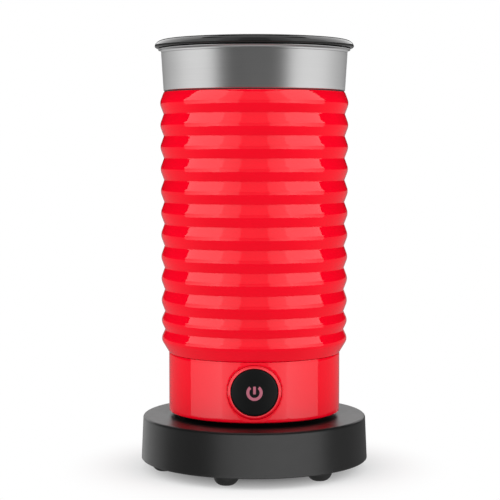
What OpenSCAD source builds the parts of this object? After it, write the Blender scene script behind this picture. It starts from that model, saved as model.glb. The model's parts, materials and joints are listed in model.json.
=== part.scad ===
// Electric milk frothing pitcher on a round power base.
// A steel vessel hangs by its flared collar in a ribbed red sleeve. The smooth band under the
// sleeve holds the push button, and the cavity inside holds heater, motor and control board.
// Frame: origin on the standing plane at the vertical axis, +Z up, the button faces -Y.

/* [Base] */
// Radius of the power base at its lower edge
base_bottom_r = 50.4; // [48:0.2:56]
// Radius of the power base at its upper edge
base_top_r = 49.6; // [47:0.2:50]
// Height of the flat top of the power base
base_top_z = 24; // [23.4:0.2:24.4]
// Height of the underside of the power base above the table
foot_h = 4.6; // [4:0.2:5]
// Radius of one rubber foot where it meets the base
foot_r = 5.6; // [5.3:0.1:6]
// Distance of the feet from the axis
foot_ring_r = 41; // [39:0.5:41.5]

/* [Pitcher] */
// Outer radius of the smooth lower band
band_r = 38; // [37.8:0.1:38.4]
// Height of the lower edge of the band above the table
band_bottom_z = 26; // [25.6:0.1:26.2]
// Height of the seam between the band and the ribbed sleeve
seam_z = 52.2; // [51.6:0.1:52.4]
// Height of the upper edge of the ribbed sleeve
sleeve_top_z = 167.2; // [166:0.2:168]
// Radius of the grooves between ribs at the top of the sleeve
groove_r = 40.15; // [40:0.05:40.6]
// How far a rib stands out of the grooves beside it
rib_depth = 1.45; // [0.8:0.05:2]
// Height of one regular rib
rib_pitch = 9.68; // [9.5:0.01:9.7]
// Height of each of the two lowest ribs
short_pitch = 8.1; // [7.8:0.1:8.3]
// How much smaller the sleeve's radius is at the bottom than at the top
sleeve_taper = 0.5; // [0:0.1:0.6]

/* [Vessel and lid] */
// Outer radius of the vessel's straight wall
vessel_r = 38; // [37.8:0.1:38.1]
// Thickness of the vessel's sheet steel
vessel_t = 0.8; // [0.6:0.1:0.9]
// Height of the underside of the vessel's floor
vessel_floor_z = 74; // [73.8:0.1:74.4]
// Outer radius of the collar where it rises out of the sleeve
collar_r = 40.1; // [40:0.05:40.3]
// Outer radius of the collar just below its lip
collar_top_r = 41.1; // [40.9:0.05:41.3]
// Height of the crease under the lip
crease_z = 184.3; // [184:0.1:184.6]
// Outer radius of the lip
lip_r = 42.4; // [42.2:0.1:42.6]
// Outer radius of the lid's flange
lid_r = 43.9; // [43.6:0.1:45]
// Height of the lid's rim, which is the total height
lid_top_z = 190; // [189.6:0.1:191]

/* [Button] */
// Height of the middle of the button
button_z = 38.5; // [38.5:0.1:39.2]
// Radius of the button's round cap
button_r = 9.9; // [9:0.1:10]
// How far the button goes in when it is pressed
button_travel = 1; // [0.6:0.1:1]

/* [Whisk] */
// Radius of the ring that carries the whisk's coil
whisk_ring_r = 16; // [15.8:0.1:16.6]
// Radius of one loop of the coil, to the middle of the wire
coil_loop_r = 2.9; // [2.6:0.1:3]
// Number of loops of the coil
coil_loops = 28; // [16:4:32]

/* [Hidden] */
$fn = 96;
eps = 0.01;

RED = [0.9, 0.05, 0.12];
BLACK = [0.1, 0.1, 0.1];
STEEL = [0.72, 0.73, 0.74];
BRASS = [0.8, 0.65, 0.3];
GREEN = [0.1, 0.35, 0.2];

// Shell of the base
base_wall = 2.2;
base_roof_z = base_top_z - 2.4;
base_edge = 1.2;
plate_t = 2.4;
plate_top_z = foot_h + plate_t;
plate_r = base_bottom_r - base_wall - 0.8;
seat_in_r = 24;
seat_out_r = 27;
seat_z = band_bottom_z + 0.1;

// Feet stand six to the circle, the first one a little left of the front
foot_count = 6;
foot_first = -107;
foot_plug_r = 5;
foot_plug_h = 0.9;
foot_flat_r = 1.8;

// Fasteners: clearance holes take the shank, pilot holes hold its thread
screw_r = 1.2;
screw_hole_r = 1.5;
pilot_r = 1.25;
head_r = 2.6;
head_h = 1.2;
base_boss_r = 3.4;
base_boss_ring_r = 33;
base_boss_angles = [30, 150, 270];

// Mains lead entry at the back of the base
cord_z = 14;
cord_bore_r = 3.4;
gland_neck_r = 5;
gland_flange_r = 6.8;
gland_in_y = 44.4;
gland_step_y = 47;
gland_out_y = 49.6;
clamp_x = 9;
clamp_y = 35;
clamp_boss_z = 10.4;
clamp_t = 1.8;

// Round power connector, turned about the axis
post_r = 11.8;
post_hole_r = 12;
post_top_z = 37;
post_flange_r = 16;
post_flange_t = 2;
band_depth = 0.8;
post_bands = [27.5, 32.5];
post_band_h = 2.6;
pin_r = 1.95;
pin_top_z = 40.4;
socket_in_r = 12.3;
socket_out_r = 17;
socket_groove_r = socket_in_r + 0.6;
pin_hole_r = 2.9;
socket_gap = 0.3;
socket_bottom_z = band_bottom_z + 0.6;
socket_ceiling_z = 38.4;
socket_top_z = 43;
socket_flange_r = 20.5;
socket_flange_t = 2;

// Floor of the electronics cavity
floor_z = band_bottom_z + 0.4;
floor_top_z = floor_z + 2.4;
floor_r = band_r - 2.3;
flange_z = floor_top_z + socket_gap;
retainer_z = flange_z + socket_flange_t + socket_gap;
retainer_t = 1.6;
retainer_r = 21.6;
retainer_ear_r = 3;
retainer_ear_ring_r = 23.8;
retainer_angles = [90, 210, 330];
skirt_boss_r = 3.2;
skirt_boss_ring_r = 33;
skirt_boss_top_z = 44;
skirt_angles = [0, 120, 240];
board_post_r = 2.6;
board_post_ring_r = 30.8;
board_angles = [60, 180, 300];
board_z = 46.8;
board_t = 1.6;
board_r = 33.4;
board_hole_r = 15;
board_front_y = -29.2;
board_top_z = board_z + board_t;

// Smooth band
band_wall = 2.1;
band_top_z = seam_z - 0.2;
spigot_r = 36.2;
spigot_t = 1.6;
spigot_top_z = seam_z + 3;

// Ribbed sleeve: rib_count regular ribs above two short ones
rib_count = 10;
sleeve_in_r = 38.6;
sleeve_foot_in_r = 36.5;
sleeve_foot_r = band_r + 0.1;
rib_round = 1.6;
rib_steps = 3;
gasket_t = 0.5;
collar_z = sleeve_top_z + gasket_t;
sleeve_length = sleeve_top_z - seam_z;

// Push button and its bezel, along the Y axis
bezel_in_r = button_r + 0.3;
bezel_out_r = bezel_in_r + 1.3;
bezel_gap = 0.25;
bezel_flange_r = 12.8;
bezel_flange_y = -33.4;
bezel_back_y = -32.2;
bezel_proud = 0.3;
cap_flange_r = 11.2;
cap_flange_y = bezel_back_y + 0.3;
cap_back_y = cap_flange_y + 1;
cap_face_r = band_r + 0.05;
floor_gap = 0.15;
icon_depth = 0.55;
icon_out_r = 3.53;
icon_in_r = 2.05;
icon_gap = 35;
icon_bar_w = 1.3;
icon_bar_top = 3.2;
icon_bar_bottom = -0.7;
switch_board_y = -24;
switch_board_t = 1.6;
switch_board_w = 20;
switch_board_z = 29.2;
switch_board_top_z = 46.4;
tact_w = 6;
tact_y = -27.5;
tact_pin_y = -28.1;
tact_pin_r = 1.7;
plunger_tip_y = tact_pin_y - button_travel - 0.1;
spring_r = 5.2;
spring_wire_r = 0.3;
spring_turns = 4;

// Heater under the vessel floor
heater_plate_r = 33.6;
heater_hole_r = 16.5;
heater_plate_t = 2;
heater_plate_z = vessel_floor_z - heater_plate_t;
heater_ring_r = 24.6;
heater_tube_r = 3.1;
heater_arc = 300;
heater_start = -60;
heater_pin_r = 1;
heater_pin_z = 60;
heater_pins = [heater_start + 4, heater_start + heater_arc - 4];
temp_sensor_ring_r = 18.9;
fuse_ring_r = 30.6;
fuse_angle = 100;

// Motor and magnetic drive
motor_r = 12;
motor_z = 49.6;
motor_top_z = 63.6;
motor_wall = 0.8;
motor_boss_r = 3.2;
motor_boss_h = 1.1;
motor_tab = [0.6, 2.4, 3];
motor_tab_x = 8;
bearing_r = 2.2;
shaft_r = 1;
shaft_fit = 0.06;
shaft_z = 47.6;
shaft_top_z = 70.6;
armature_r = 9.6;
bracket_t = 1.2;
bracket_r = 15.5;
bracket_arm_w = 6;
bracket_leg_r = 2.4;
bracket_leg_ring_r = 31;
bracket_angles = [45, 165, 285];
carrier_r = 14.5;
carrier_z = 68.4;
carrier_top_z = 71.8;
magnet_r = 4;
magnet_ring_r = 9;
magnet_count = 4;
magnet_top_z = 72.4;
magnet_h = 3;

// Vessel
vessel_in_r = vessel_r - vessel_t;
vessel_corner = 4;
floor_in_z = vessel_floor_z + vessel_t;
lip_z = crease_z + lip_r - collar_top_r;
lip_top_z = lip_z + 0.5;

// Whisk on its post
post_pin_r = 2;
post_disc_r = 5;
post_disc_h = 0.7;
post_pin_top_z = 84;
bush_fit = 0.08;
bush_in_r = post_pin_r + bush_fit;
bush_out_r = 3.4;
bush_z = floor_in_z + post_disc_h + 0.1;
bush_top_z = 87;
hub_bore_r = bush_out_r + bush_fit;
hub_r = 11.6;
hub_z = bush_z + 0.6;
hub_disc_h = 4.6;
hub_stem_r = 5.4;
hub_top_z = 90;
whisk_magnet_r = 2.4;
whisk_magnet_h = 3;
whisk_magnet_ring_r = 8.2;
spoke_r = 0.5;
spoke_count = 4;
spoke_in_r = 9.4;
coil_wire_r = 0.45;
coil_z = hub_z + hub_disc_h / 2 + 0.4;
ring_wire_r = 0.6;

// Lid
lid_gap = 0.3;
lid_bevel_z = lip_top_z + lid_gap;
lid_nose_h = 0.8;
lid_edge_z = lid_bevel_z + lid_nose_h;
lid_round_w = 4;
lid_rim_in_r = 37.4;
lid_dish_r = 35.4;
lid_dish_z = lid_top_z - 5;
lid_panel_t = 2.6;
plug_r = 38.4;
plug_in_r = 36.6;
plug_bottom_z = 177;
seal_z = 179;
seal_h = 3;
seal_groove = 1;
seal_r = 39.65;
window_r = 28.3;
window_t = 1.4;
window_gap = 0.1;
window_hole_r = 26;
grip_foot_r = 6.5;
grip_top_r = 10;
grip_top_z = lid_top_z - 0.2;

// Points of an arc about c, from angle a0 to a1 in n steps
function arc(c, r, a0, a1, n) =
    [for (i = [0 : n]) let (a = a0 + (a1 - a0) * i / n) c + r * [cos(a), sin(a)]];

// Height of the groove under rib i, counted from the top, where 0 is the sleeve's top edge
function groove_z(i) =
    sleeve_top_z - min(i, rib_count) * rib_pitch - max(i - rib_count, 0) * short_pitch;

// Groove radius at height z, with the sleeve's slight taper
function groove_radius(z) = groove_r - sleeve_taper * (sleeve_top_z - z) / sleeve_length;

// One side of a rib's rounded crest: a parabola that runs into the straight flank
function crest_drop(depth, height) = depth * rib_round / (2 * height - rib_round);

// Outline of rib i from its crest down or up, side is -1 below the crest and 1 above it
function crest_side(i, side, depth, height) =
    [for (k = [1 : rib_steps]) let (s = k / rib_steps)
        [crest_radius(i) - crest_drop(depth, height) * s * s, crest_z(i) + side * rib_round * s]];

function crest_z(i) = (groove_z(i - 1) + groove_z(i)) / 2;
function crest_radius(i) = groove_radius(crest_z(i)) + rib_depth;
function rib_upper_h(i) = groove_z(i - 1) - crest_z(i);
function reversed(list) = [for (i = [len(list) - 1 : -1 : 0]) list[i]];

// Outline of one rib from the groove above it to the groove below it
function rib_outline(i) = concat(
    [[groove_radius(groove_z(i - 1)), groove_z(i - 1)]],
    reversed(crest_side(i, 1, rib_depth, rib_upper_h(i))),
    [[crest_radius(i), crest_z(i)]],
    crest_side(i, -1, rib_depth, rib_upper_h(i)));

// The lowest rib runs straight down to the seam from its crest
function last_rib_outline(i) = concat(
    [[groove_radius(groove_z(i - 1)), groove_z(i - 1)]],
    reversed(crest_side(i, 1, rib_depth, rib_upper_h(i))),
    [[crest_radius(i), crest_z(i)]],
    crest_side(i, -1, crest_radius(i) - sleeve_foot_r, crest_z(i) - seam_z),
    [[sleeve_foot_r, seam_z]]);

module ring(r_out, r_in, h) {
    difference() {
        cylinder(r = r_out, h = h);
        translate([0, 0, -1]) cylinder(r = r_in, h = h + 2);
    }
}

module around(angles, r) {
    for (a = angles) rotate([0, 0, a]) translate([r, 0, 0]) children();
}

// Cylinder that lies along +Y from y0 to y1, on the button's axis
module along_y(r, y0, y1) {
    translate([0, y0, button_z]) rotate([-90, 0, 0]) cylinder(r = r, h = y1 - y0);
}

// Space of the cavity's floor, which the round parts of the button stay clear of
module floor_space() {
    translate([0, 0, floor_z - 1])
        cylinder(r = band_r - band_wall, h = floor_top_z + floor_gap - floor_z + 1);
}

// Pan-head screw standing on its head, with its shank along +Z
module screw(length, r = screw_r, head = head_r) {
    cylinder(r = head, h = head_h);
    translate([0, 0, head_h - eps]) cylinder(r = r, h = length);
}

// Closed tube of round wire along a list of points, with one ring of points at each
module helix_wire(points, wire_r, sides) {
    n = len(points);
    rings = [for (i = [0 : n - 1])
        let (t = points[min(i + 1, n - 1)] - points[max(i - 1, 0)],
             w = t / norm(t),
             u = cross(w, [0, 0, 1]) / norm(cross(w, [0, 0, 1])),
             v = cross(w, u))
        for (k = [0 : sides - 1]) let (a = 360 * k / sides)
            points[i] + wire_r * (cos(a) * u + sin(a) * v)];
    walls = [for (i = [0 : n - 2], k = [0 : sides - 1])
        let (a = i * sides + k, b = i * sides + (k + 1) % sides)
        [a, b, b + sides, a + sides]];
    start = [for (k = [sides - 1 : -1 : 0]) k];
    end = [for (k = [0 : sides - 1]) (n - 1) * sides + k];
    polyhedron(rings, concat([start], walls, [end]));
}

// ---- Power base ----

module base_housing() {
    color(BLACK) difference() {
        union() {
            rotate_extrude() polygon(concat(
                [[post_hole_r, base_roof_z],
                 [base_top_r - base_wall, base_roof_z],
                 [base_bottom_r - base_wall, foot_h],
                 [base_bottom_r, foot_h]],
                arc([base_top_r - base_edge, base_top_z - base_edge], base_edge, 0, 90, 5),
                [[seat_out_r, base_top_z],
                 [seat_out_r, seat_z],
                 [seat_in_r, seat_z],
                 [seat_in_r, base_top_z],
                 [post_hole_r, base_top_z]]));
            translate([0, 0, plate_top_z]) around(base_boss_angles, base_boss_ring_r)
                cylinder(r = base_boss_r, h = base_roof_z - plate_top_z + eps);
            for (x = [-clamp_x, clamp_x]) translate([x, clamp_y, clamp_boss_z])
                cylinder(r = 3, h = base_roof_z - clamp_boss_z + eps);
        }
        translate([0, 0, plate_top_z - 1]) around(base_boss_angles, base_boss_ring_r)
            cylinder(r = pilot_r, h = 11);
        for (x = [-clamp_x, clamp_x]) translate([x, clamp_y, clamp_boss_z - 1])
            cylinder(r = pilot_r, h = 9);
        translate([0, gland_in_y, cord_z]) rotate([-90, 0, 0]) cylinder(r = gland_neck_r + 0.1, h = 12);
    }
}

module base_bottom() {
    color(BLACK) difference() {
        translate([0, 0, foot_h]) cylinder(r = plate_r, h = plate_t);
        translate([0, 0, foot_h - 1]) around(base_boss_angles, base_boss_ring_r) {
            cylinder(r = screw_hole_r, h = plate_t + 2);
            cylinder(r = head_r + 0.3, h = 1 + head_h + 0.1);
        }
        translate([0, 0, foot_h - 1]) for (i = [0 : foot_count - 1])
            around([foot_first + 360 * i / foot_count], foot_ring_r)
                cylinder(r = foot_plug_r + 0.1, h = 1 + foot_plug_h + 0.1);
    }
}

module base_feet() {
    dome_r = (foot_h * foot_h + foot_r * foot_r - foot_flat_r * foot_flat_r) / (2 * foot_h);
    color([0.15, 0.15, 0.15]) for (i = [0 : foot_count - 1])
        around([foot_first + 360 * i / foot_count], foot_ring_r) {
            rotate_extrude($fn = 48) polygon(concat(
                [[0, 0]],
                [for (k = [0 : 6]) let (s = k / 6)
                    [foot_flat_r + (foot_r - foot_flat_r) * sin(90 * s), foot_h * (1 - cos(90 * s))]],
                [[foot_plug_r, foot_h], [foot_plug_r, foot_h + foot_plug_h], [0, foot_h + foot_plug_h]]));
        }
}

module power_post() {
    color([0.2, 0.2, 0.2]) difference() {
        union() {
            translate([0, 0, base_roof_z - post_flange_t]) cylinder(r = post_flange_r, h = post_flange_t);
            translate([0, 0, base_roof_z - post_flange_t])
                cylinder(r = post_r, h = post_top_z - 1 - base_roof_z + post_flange_t);
            translate([0, 0, post_top_z - 1 - eps]) cylinder(r1 = post_r, r2 = post_r - 1, h = 1);
        }
        for (z = post_bands) translate([0, 0, z]) ring(post_r + 1, post_r - band_depth, post_band_h);
        translate([0, 0, base_roof_z]) cylinder(r = pin_r + 0.05, h = post_top_z);
    }
}

module post_contacts() {
    color(BRASS) {
        for (z = post_bands) translate([0, 0, z + 0.05])
            ring(post_r - 0.05, post_r - band_depth + 0.05, post_band_h - 0.1);
        translate([0, 0, base_roof_z]) cylinder(r = pin_r, h = pin_top_z - 1 - base_roof_z);
        translate([0, 0, pin_top_z - 1 - eps]) cylinder(r1 = pin_r, r2 = pin_r - 0.8, h = 1);
    }
}

module base_terminals() {
    blade_t = 0.8;
    blade_w = 4.8;
    blade_z = 13;
    color(BRASS) around([0, 120, 240], 8) translate([-blade_t / 2, -blade_w / 2, blade_z])
        cube([blade_t, blade_w, base_roof_z - post_flange_t - blade_z]);
}

module base_screws() {
    color(STEEL) translate([0, 0, foot_h + 0.05]) around(base_boss_angles, base_boss_ring_r)
        screw(10);
}

module cord_gland() {
    color([0.12, 0.12, 0.12]) translate([0, 0, cord_z]) rotate([-90, 0, 0]) difference() {
        union() {
            translate([0, 0, gland_in_y]) cylinder(r = gland_flange_r, h = gland_step_y - gland_in_y);
            translate([0, 0, gland_in_y]) cylinder(r = gland_neck_r, h = gland_out_y - gland_in_y);
        }
        translate([0, 0, gland_in_y - 1]) cylinder(r = cord_bore_r, h = gland_out_y - gland_in_y + 2);
    }
}

module cord_clamp() {
    color([0.25, 0.25, 0.25]) difference() {
        translate([-clamp_x - 3.5, clamp_y - 3, clamp_boss_z - clamp_t])
            cube([2 * clamp_x + 7, 6, clamp_t]);
        for (x = [-clamp_x, clamp_x]) translate([x, clamp_y, clamp_boss_z - clamp_t - 1])
            cylinder(r = screw_hole_r, h = clamp_t + 2);
    }
}

module clamp_screws() {
    color(STEEL) for (x = [-clamp_x, clamp_x])
        translate([x, clamp_y, clamp_boss_z - clamp_t - head_h]) screw(8);
}

// ---- Round socket under the pitcher ----

module power_socket() {
    color([0.16, 0.16, 0.16]) difference() {
        union() {
            translate([0, 0, socket_bottom_z])
                cylinder(r = socket_out_r, h = socket_top_z - socket_bottom_z);
            translate([0, 0, flange_z]) cylinder(r = socket_flange_r, h = socket_flange_t);
        }
        translate([0, 0, socket_bottom_z - 1])
            cylinder(r = socket_in_r, h = socket_ceiling_z - socket_bottom_z + 1);
        for (z = post_bands) translate([0, 0, z + 0.3]) cylinder(r = socket_groove_r, h = 2);
        translate([0, 0, socket_ceiling_z - 1]) cylinder(r = pin_hole_r, h = 3.4);
    }
}

module socket_contacts() {
    color(BRASS) {
        for (z = post_bands) translate([0, 0, z + 0.4]) ring(socket_groove_r - 0.05, post_r + 0.2, 1.8);
        translate([0, 0, socket_ceiling_z + 0.1]) ring(pin_hole_r - 0.05, pin_r + 0.15, 2);
    }
}

// ---- Pitcher shells ----

module milk_vessel() {
    inner_corner = vessel_corner - vessel_t;
    wall = vessel_t / cos(atan((collar_top_r - collar_r) / (crease_z - collar_z)));
    color(STEEL) rotate_extrude() polygon(concat(
        [[0, vessel_floor_z]],
        arc([vessel_r - vessel_corner, vessel_floor_z + vessel_corner], vessel_corner, -90, 0, 6),
        [[vessel_r, collar_z],
         [collar_r, collar_z],
         [collar_top_r, crease_z],
         [lip_r, lip_z],
         [lip_r, lip_top_z],
         [lip_r - 1.1, lip_top_z],
         [collar_top_r - wall, crease_z + 0.3],
         [collar_r - wall, collar_z + vessel_t],
         [vessel_in_r, collar_z + vessel_t]],
        arc([vessel_in_r - inner_corner, floor_in_z + inner_corner], inner_corner, 0, -90, 6),
        [[0, floor_in_z]]));
}

module rib_sleeve() {
    last = rib_count + 2;
    color(RED) rotate_extrude() polygon(concat(
        [[sleeve_in_r, sleeve_top_z]],
        [for (i = [1 : last - 1]) each rib_outline(i)],
        last_rib_outline(last),
        [[sleeve_foot_in_r, seam_z],
         [sleeve_foot_in_r, seam_z + 4],
         [sleeve_in_r, seam_z + 8]]));
}

module lower_skirt() {
    edge = 0.6;
    color(RED) difference() {
        union() {
            rotate_extrude() polygon(concat(
                [[band_r - band_wall, band_bottom_z]],
                arc([band_r - edge, band_bottom_z + edge], edge, -90, 0, 4),
                [[band_r, band_top_z - 0.2],
                 [band_r - 0.2, band_top_z],
                 [spigot_r, band_top_z],
                 [spigot_r, spigot_top_z],
                 [spigot_r - spigot_t, spigot_top_z],
                 [spigot_r - spigot_t, band_top_z - 2],
                 [band_r - band_wall, band_top_z - 3.6]]));
            translate([0, 0, floor_top_z]) around(skirt_angles, skirt_boss_ring_r)
                cylinder(r = skirt_boss_r, h = skirt_boss_top_z - floor_top_z);
        }
        translate([0, 0, floor_top_z - 1]) around(skirt_angles, skirt_boss_ring_r)
            cylinder(r = pilot_r, h = 13);
        along_y(bezel_out_r + bezel_gap, -band_r - 2, -30);
    }
}

module skirt_base() {
    color(BLACK) difference() {
        union() {
            translate([0, 0, floor_z]) cylinder(r = floor_r, h = floor_top_z - floor_z);
            translate([0, 0, floor_top_z - eps]) around(retainer_angles, retainer_ear_ring_r)
                cylinder(r = retainer_ear_r - 0.4, h = retainer_z - floor_top_z + eps);
            translate([0, 0, floor_top_z - eps]) around(board_angles, board_post_ring_r)
                cylinder(r = board_post_r, h = board_z - floor_top_z + eps);
            for (s = [-1, 1])
                translate([s * (switch_board_w / 2 + 0.6), switch_board_y + 0.8, floor_top_z - eps])
                    translate([-1.6, -2.2, 0]) cube([3.2, 4.4, 7]);
        }
        translate([0, 0, floor_z - 1]) cylinder(r = socket_out_r + socket_gap, h = 4);
        translate([0, 0, floor_z - 1]) around(skirt_angles, skirt_boss_ring_r) {
            cylinder(r = screw_hole_r, h = 4);
            cylinder(r = head_r + 0.2, h = 1 + head_h + 0.1);
        }
        translate([0, 0, floor_top_z - 1]) around(retainer_angles, retainer_ear_ring_r)
            cylinder(r = pilot_r, h = 6);
        translate([0, 0, board_z - 8]) around(board_angles, board_post_ring_r)
            cylinder(r = pilot_r, h = 10);
        translate([-switch_board_w / 2 - 0.1, switch_board_y - 0.1, floor_top_z])
            cube([switch_board_w + 0.2, switch_board_t + 0.2, 10]);
        along_y(bezel_in_r, -band_r, bezel_back_y);
    }
}

module collar_seal() {
    color([0.08, 0.08, 0.08]) translate([0, 0, sleeve_top_z])
        ring(groove_r - 0.35, vessel_r + 0.1, gasket_t);
}

module socket_retainer() {
    color([0.3, 0.3, 0.3]) translate([0, 0, retainer_z]) difference() {
        union() {
            cylinder(r = retainer_r, h = retainer_t);
            around(retainer_angles, retainer_ear_ring_r) cylinder(r = retainer_ear_r, h = retainer_t);
        }
        translate([0, 0, -1]) cylinder(r = socket_out_r + socket_gap, h = retainer_t + 2);
        translate([0, 0, -1]) around(retainer_angles, retainer_ear_ring_r)
            cylinder(r = screw_hole_r, h = retainer_t + 2);
    }
}

module retainer_screws() {
    color(STEEL) translate([0, 0, retainer_z + retainer_t + head_h])
        around(retainer_angles, retainer_ear_ring_r) rotate([180, 0, 0]) screw(4.4, head = 2.2);
}

module skirt_screws() {
    color(STEEL) translate([0, 0, floor_z + 0.1]) around(skirt_angles, skirt_boss_ring_r) screw(11);
}

module button_bezel() {
    color([0.75, 0.03, 0.09]) difference() {
        union() {
            intersection() {
                along_y(bezel_out_r, -band_r - 2, bezel_back_y);
                cylinder(r = band_r + bezel_proud, h = seam_z);
            }
            along_y(bezel_flange_r, bezel_flange_y, bezel_back_y);
        }
        along_y(bezel_in_r, -band_r - 3, bezel_back_y + 1);
        floor_space();
    }
}

// ---- Heater and drive under the vessel ----

module heater_plate() {
    color([0.8, 0.81, 0.82]) translate([0, 0, heater_plate_z])
        ring(heater_plate_r, heater_hole_r, heater_plate_t);
}

module heater_ring() {
    tube_z = heater_plate_z - heater_tube_r;
    color([0.6, 0.6, 0.6]) {
        translate([0, 0, tube_z]) rotate([0, 0, heater_start]) rotate_extrude(angle = heater_arc)
            translate([heater_ring_r, 0]) circle(r = heater_tube_r, $fn = 32);
        around(heater_pins, heater_ring_r) translate([0, 0, heater_pin_z])
            cylinder(r = heater_pin_r, h = tube_z - heater_pin_z, $fn = 32);
    }
}

module temp_sensor() {
    body = [3.8, 6, 3.2];
    lead_r = 0.5;
    lead_h = 3;
    color([0.85, 0.85, 0.8]) translate([0, -temp_sensor_ring_r, heater_plate_z - body.z]) {
        translate([-body.y / 2, -body.x / 2, 0]) cube([body.y, body.x, body.z]);
        for (s = [-1, 1]) translate([s * body.y / 4, 0, -lead_h])
            cylinder(r = lead_r, h = lead_h + 0.5, $fn = 24);
    }
}

module thermal_fuse() {
    body_r = 1.7;
    body_l = 10;
    lead_r = 0.5;
    lead_l = 18;
    color([0.75, 0.7, 0.6]) rotate([0, 0, fuse_angle])
        translate([fuse_ring_r, 0, heater_plate_z - body_r - 0.1]) rotate([90, 0, 0]) {
            cylinder(r = body_r, h = body_l, center = true, $fn = 32);
            cylinder(r = lead_r, h = lead_l, center = true, $fn = 24);
        }
}

module motor_can() {
    can_h = motor_top_z - motor_z;
    color([0.65, 0.66, 0.68]) translate([0, 0, motor_z]) difference() {
        union() {
            cylinder(r = motor_r, h = can_h);
            translate([0, 0, -motor_boss_h]) cylinder(r = motor_boss_r, h = can_h + 2 * motor_boss_h);
            for (s = [-1, 1])
                translate([s * motor_tab_x - motor_tab.x / 2, -motor_tab.y / 2, -motor_tab.z])
                    cube(motor_tab + [0, 0, 0.2]);
        }
        translate([0, 0, 1]) cylinder(r = motor_r - motor_wall, h = can_h - 2);
        translate([0, 0, -motor_boss_h - 1])
            cylinder(r = bearing_r + 0.05, h = can_h + 2 * motor_boss_h + 2);
    }
}

module motor_bearings() {
    bearing_h = motor_boss_h + 1;
    color(BRASS) for (z = [motor_z - motor_boss_h, motor_top_z - 1])
        translate([0, 0, z]) ring(bearing_r, shaft_r + shaft_fit, bearing_h);
}

module motor_bracket() {
    color([0.7, 0.72, 0.74]) translate([0, 0, motor_top_z]) difference() {
        union() {
            cylinder(r = bracket_r, h = bracket_t);
            around(bracket_angles, 0) translate([0, -bracket_arm_w / 2, 0])
                cube([bracket_leg_ring_r, bracket_arm_w, bracket_t]);
            around(bracket_angles, bracket_leg_ring_r) {
                cylinder(r = bracket_arm_w / 2, h = bracket_t);
                cylinder(r = bracket_leg_r, h = heater_plate_z - motor_top_z);
            }
        }
        translate([0, 0, -1]) cylinder(r = motor_boss_r + 0.1, h = bracket_t + 2);
        translate([0, 0, -1]) around(bracket_angles, bracket_leg_ring_r) cylinder(r = pilot_r, h = 8);
        for (s = [-1, 1]) translate([0, s * 7.6, -1]) cylinder(r = screw_hole_r, h = bracket_t + 2);
    }
}

module bracket_screws() {
    color(STEEL) translate([0, 0, motor_top_z - head_h]) around(bracket_angles, bracket_leg_ring_r)
        screw(6.5, head = 2.4);
}

module control_board() {
    color(GREEN) translate([0, 0, board_z]) difference() {
        cylinder(r = board_r, h = board_t);
        translate([0, 0, -1]) cylinder(r = board_hole_r, h = board_t + 2);
        translate([-board_r, board_front_y - board_r, -1]) cube([2 * board_r, board_r, board_t + 2]);
        translate([0, 0, -1]) around(board_angles, board_post_ring_r)
            cylinder(r = screw_hole_r, h = board_t + 2);
    }
}

module board_parts() {
    relay = [11.5, 15, 13];
    connector = [10, 6, 6];
    chip = [5, 4, 2];
    chip_angles = [130, 148, 208, 222];
    capacitor_r = 5;
    capacitor_h = 12.5;
    color([0.2, 0.3, 0.6]) translate([0, 0, board_top_z]) {
        translate([-28.4, -relay.y / 2, 0]) cube(relay);
        translate([22.5, 9, 0]) cylinder(r = capacitor_r, h = capacitor_h, $fn = 48);
        translate([23, -4.5, 0]) cylinder(r = capacitor_r - 1, h = capacitor_h - 2.5, $fn = 48);
        translate([-connector.x / 2, -26.5, 0]) cube(connector);
        translate([-3, 19.5, 0]) cube(connector + [0, 2, 1]);
        for (a = chip_angles) rotate([0, 0, a]) translate([22, -chip.y / 2, 0]) cube(chip);
    }
}

module board_screws() {
    color(STEEL) translate([0, 0, board_top_z + head_h]) around(board_angles, board_post_ring_r)
        rotate([180, 0, 0]) screw(8, head = 2.2);
}

module switch_board() {
    color(GREEN) translate([-switch_board_w / 2, switch_board_y, switch_board_z])
        cube([switch_board_w, switch_board_t, switch_board_top_z - switch_board_z]);
}

module tact_switch() {
    color([0.3, 0.3, 0.32]) translate([0, 0, button_z]) {
        translate([-tact_w / 2, tact_y, -tact_w / 2]) cube([tact_w, switch_board_y - tact_y, tact_w]);
        translate([0, tact_pin_y, 0]) rotate([-90, 0, 0]) cylinder(r = tact_pin_r, h = 1, $fn = 48);
    }
}

module status_leds() {
    color([0.9, 0.6, 0.6]) for (x = [-7.6, 7.6]) translate([x, switch_board_y, button_z])
        rotate([90, 0, 0]) {
            cylinder(r = 1.5, h = 1.6, $fn = 32);
            translate([0, 0, 1.6]) sphere(r = 1.5, $fn = 32);
        }
}

// Leads from the board up to the heater's pins, and from the socket up to the motor's tabs
module wire_harness() {
    lead_r = 0.8;
    crimp_r = 1.3;
    crimp_h = 2.4;
    lead_end_z = motor_z - motor_tab.z - 0.1;
    color([0.85, 0.85, 0.85]) {
        around(heater_pins, heater_ring_r) translate([0, 0, board_top_z])
            cylinder(r = lead_r, h = heater_pin_z - board_top_z, $fn = 24);
        for (s = [-1, 1]) translate([s * motor_tab_x, 0, 0]) {
            translate([0, 0, socket_top_z]) cylinder(r = lead_r, h = lead_end_z - socket_top_z, $fn = 24);
            translate([0, 0, lead_end_z - crimp_h]) cylinder(r = crimp_r, h = crimp_h, $fn = 32);
        }
    }
}

module whisk_post() {
    color([0.8, 0.8, 0.82]) translate([0, 0, floor_in_z]) {
        cylinder(r = post_disc_r, h = post_disc_h);
        cylinder(r = post_pin_r, h = post_pin_top_z - 0.6 - floor_in_z);
        translate([0, 0, post_pin_top_z - 0.6 - floor_in_z - eps])
            cylinder(r1 = post_pin_r, r2 = post_pin_r - 0.5, h = 0.6);
    }
}

// ---- Rotor ----

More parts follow.
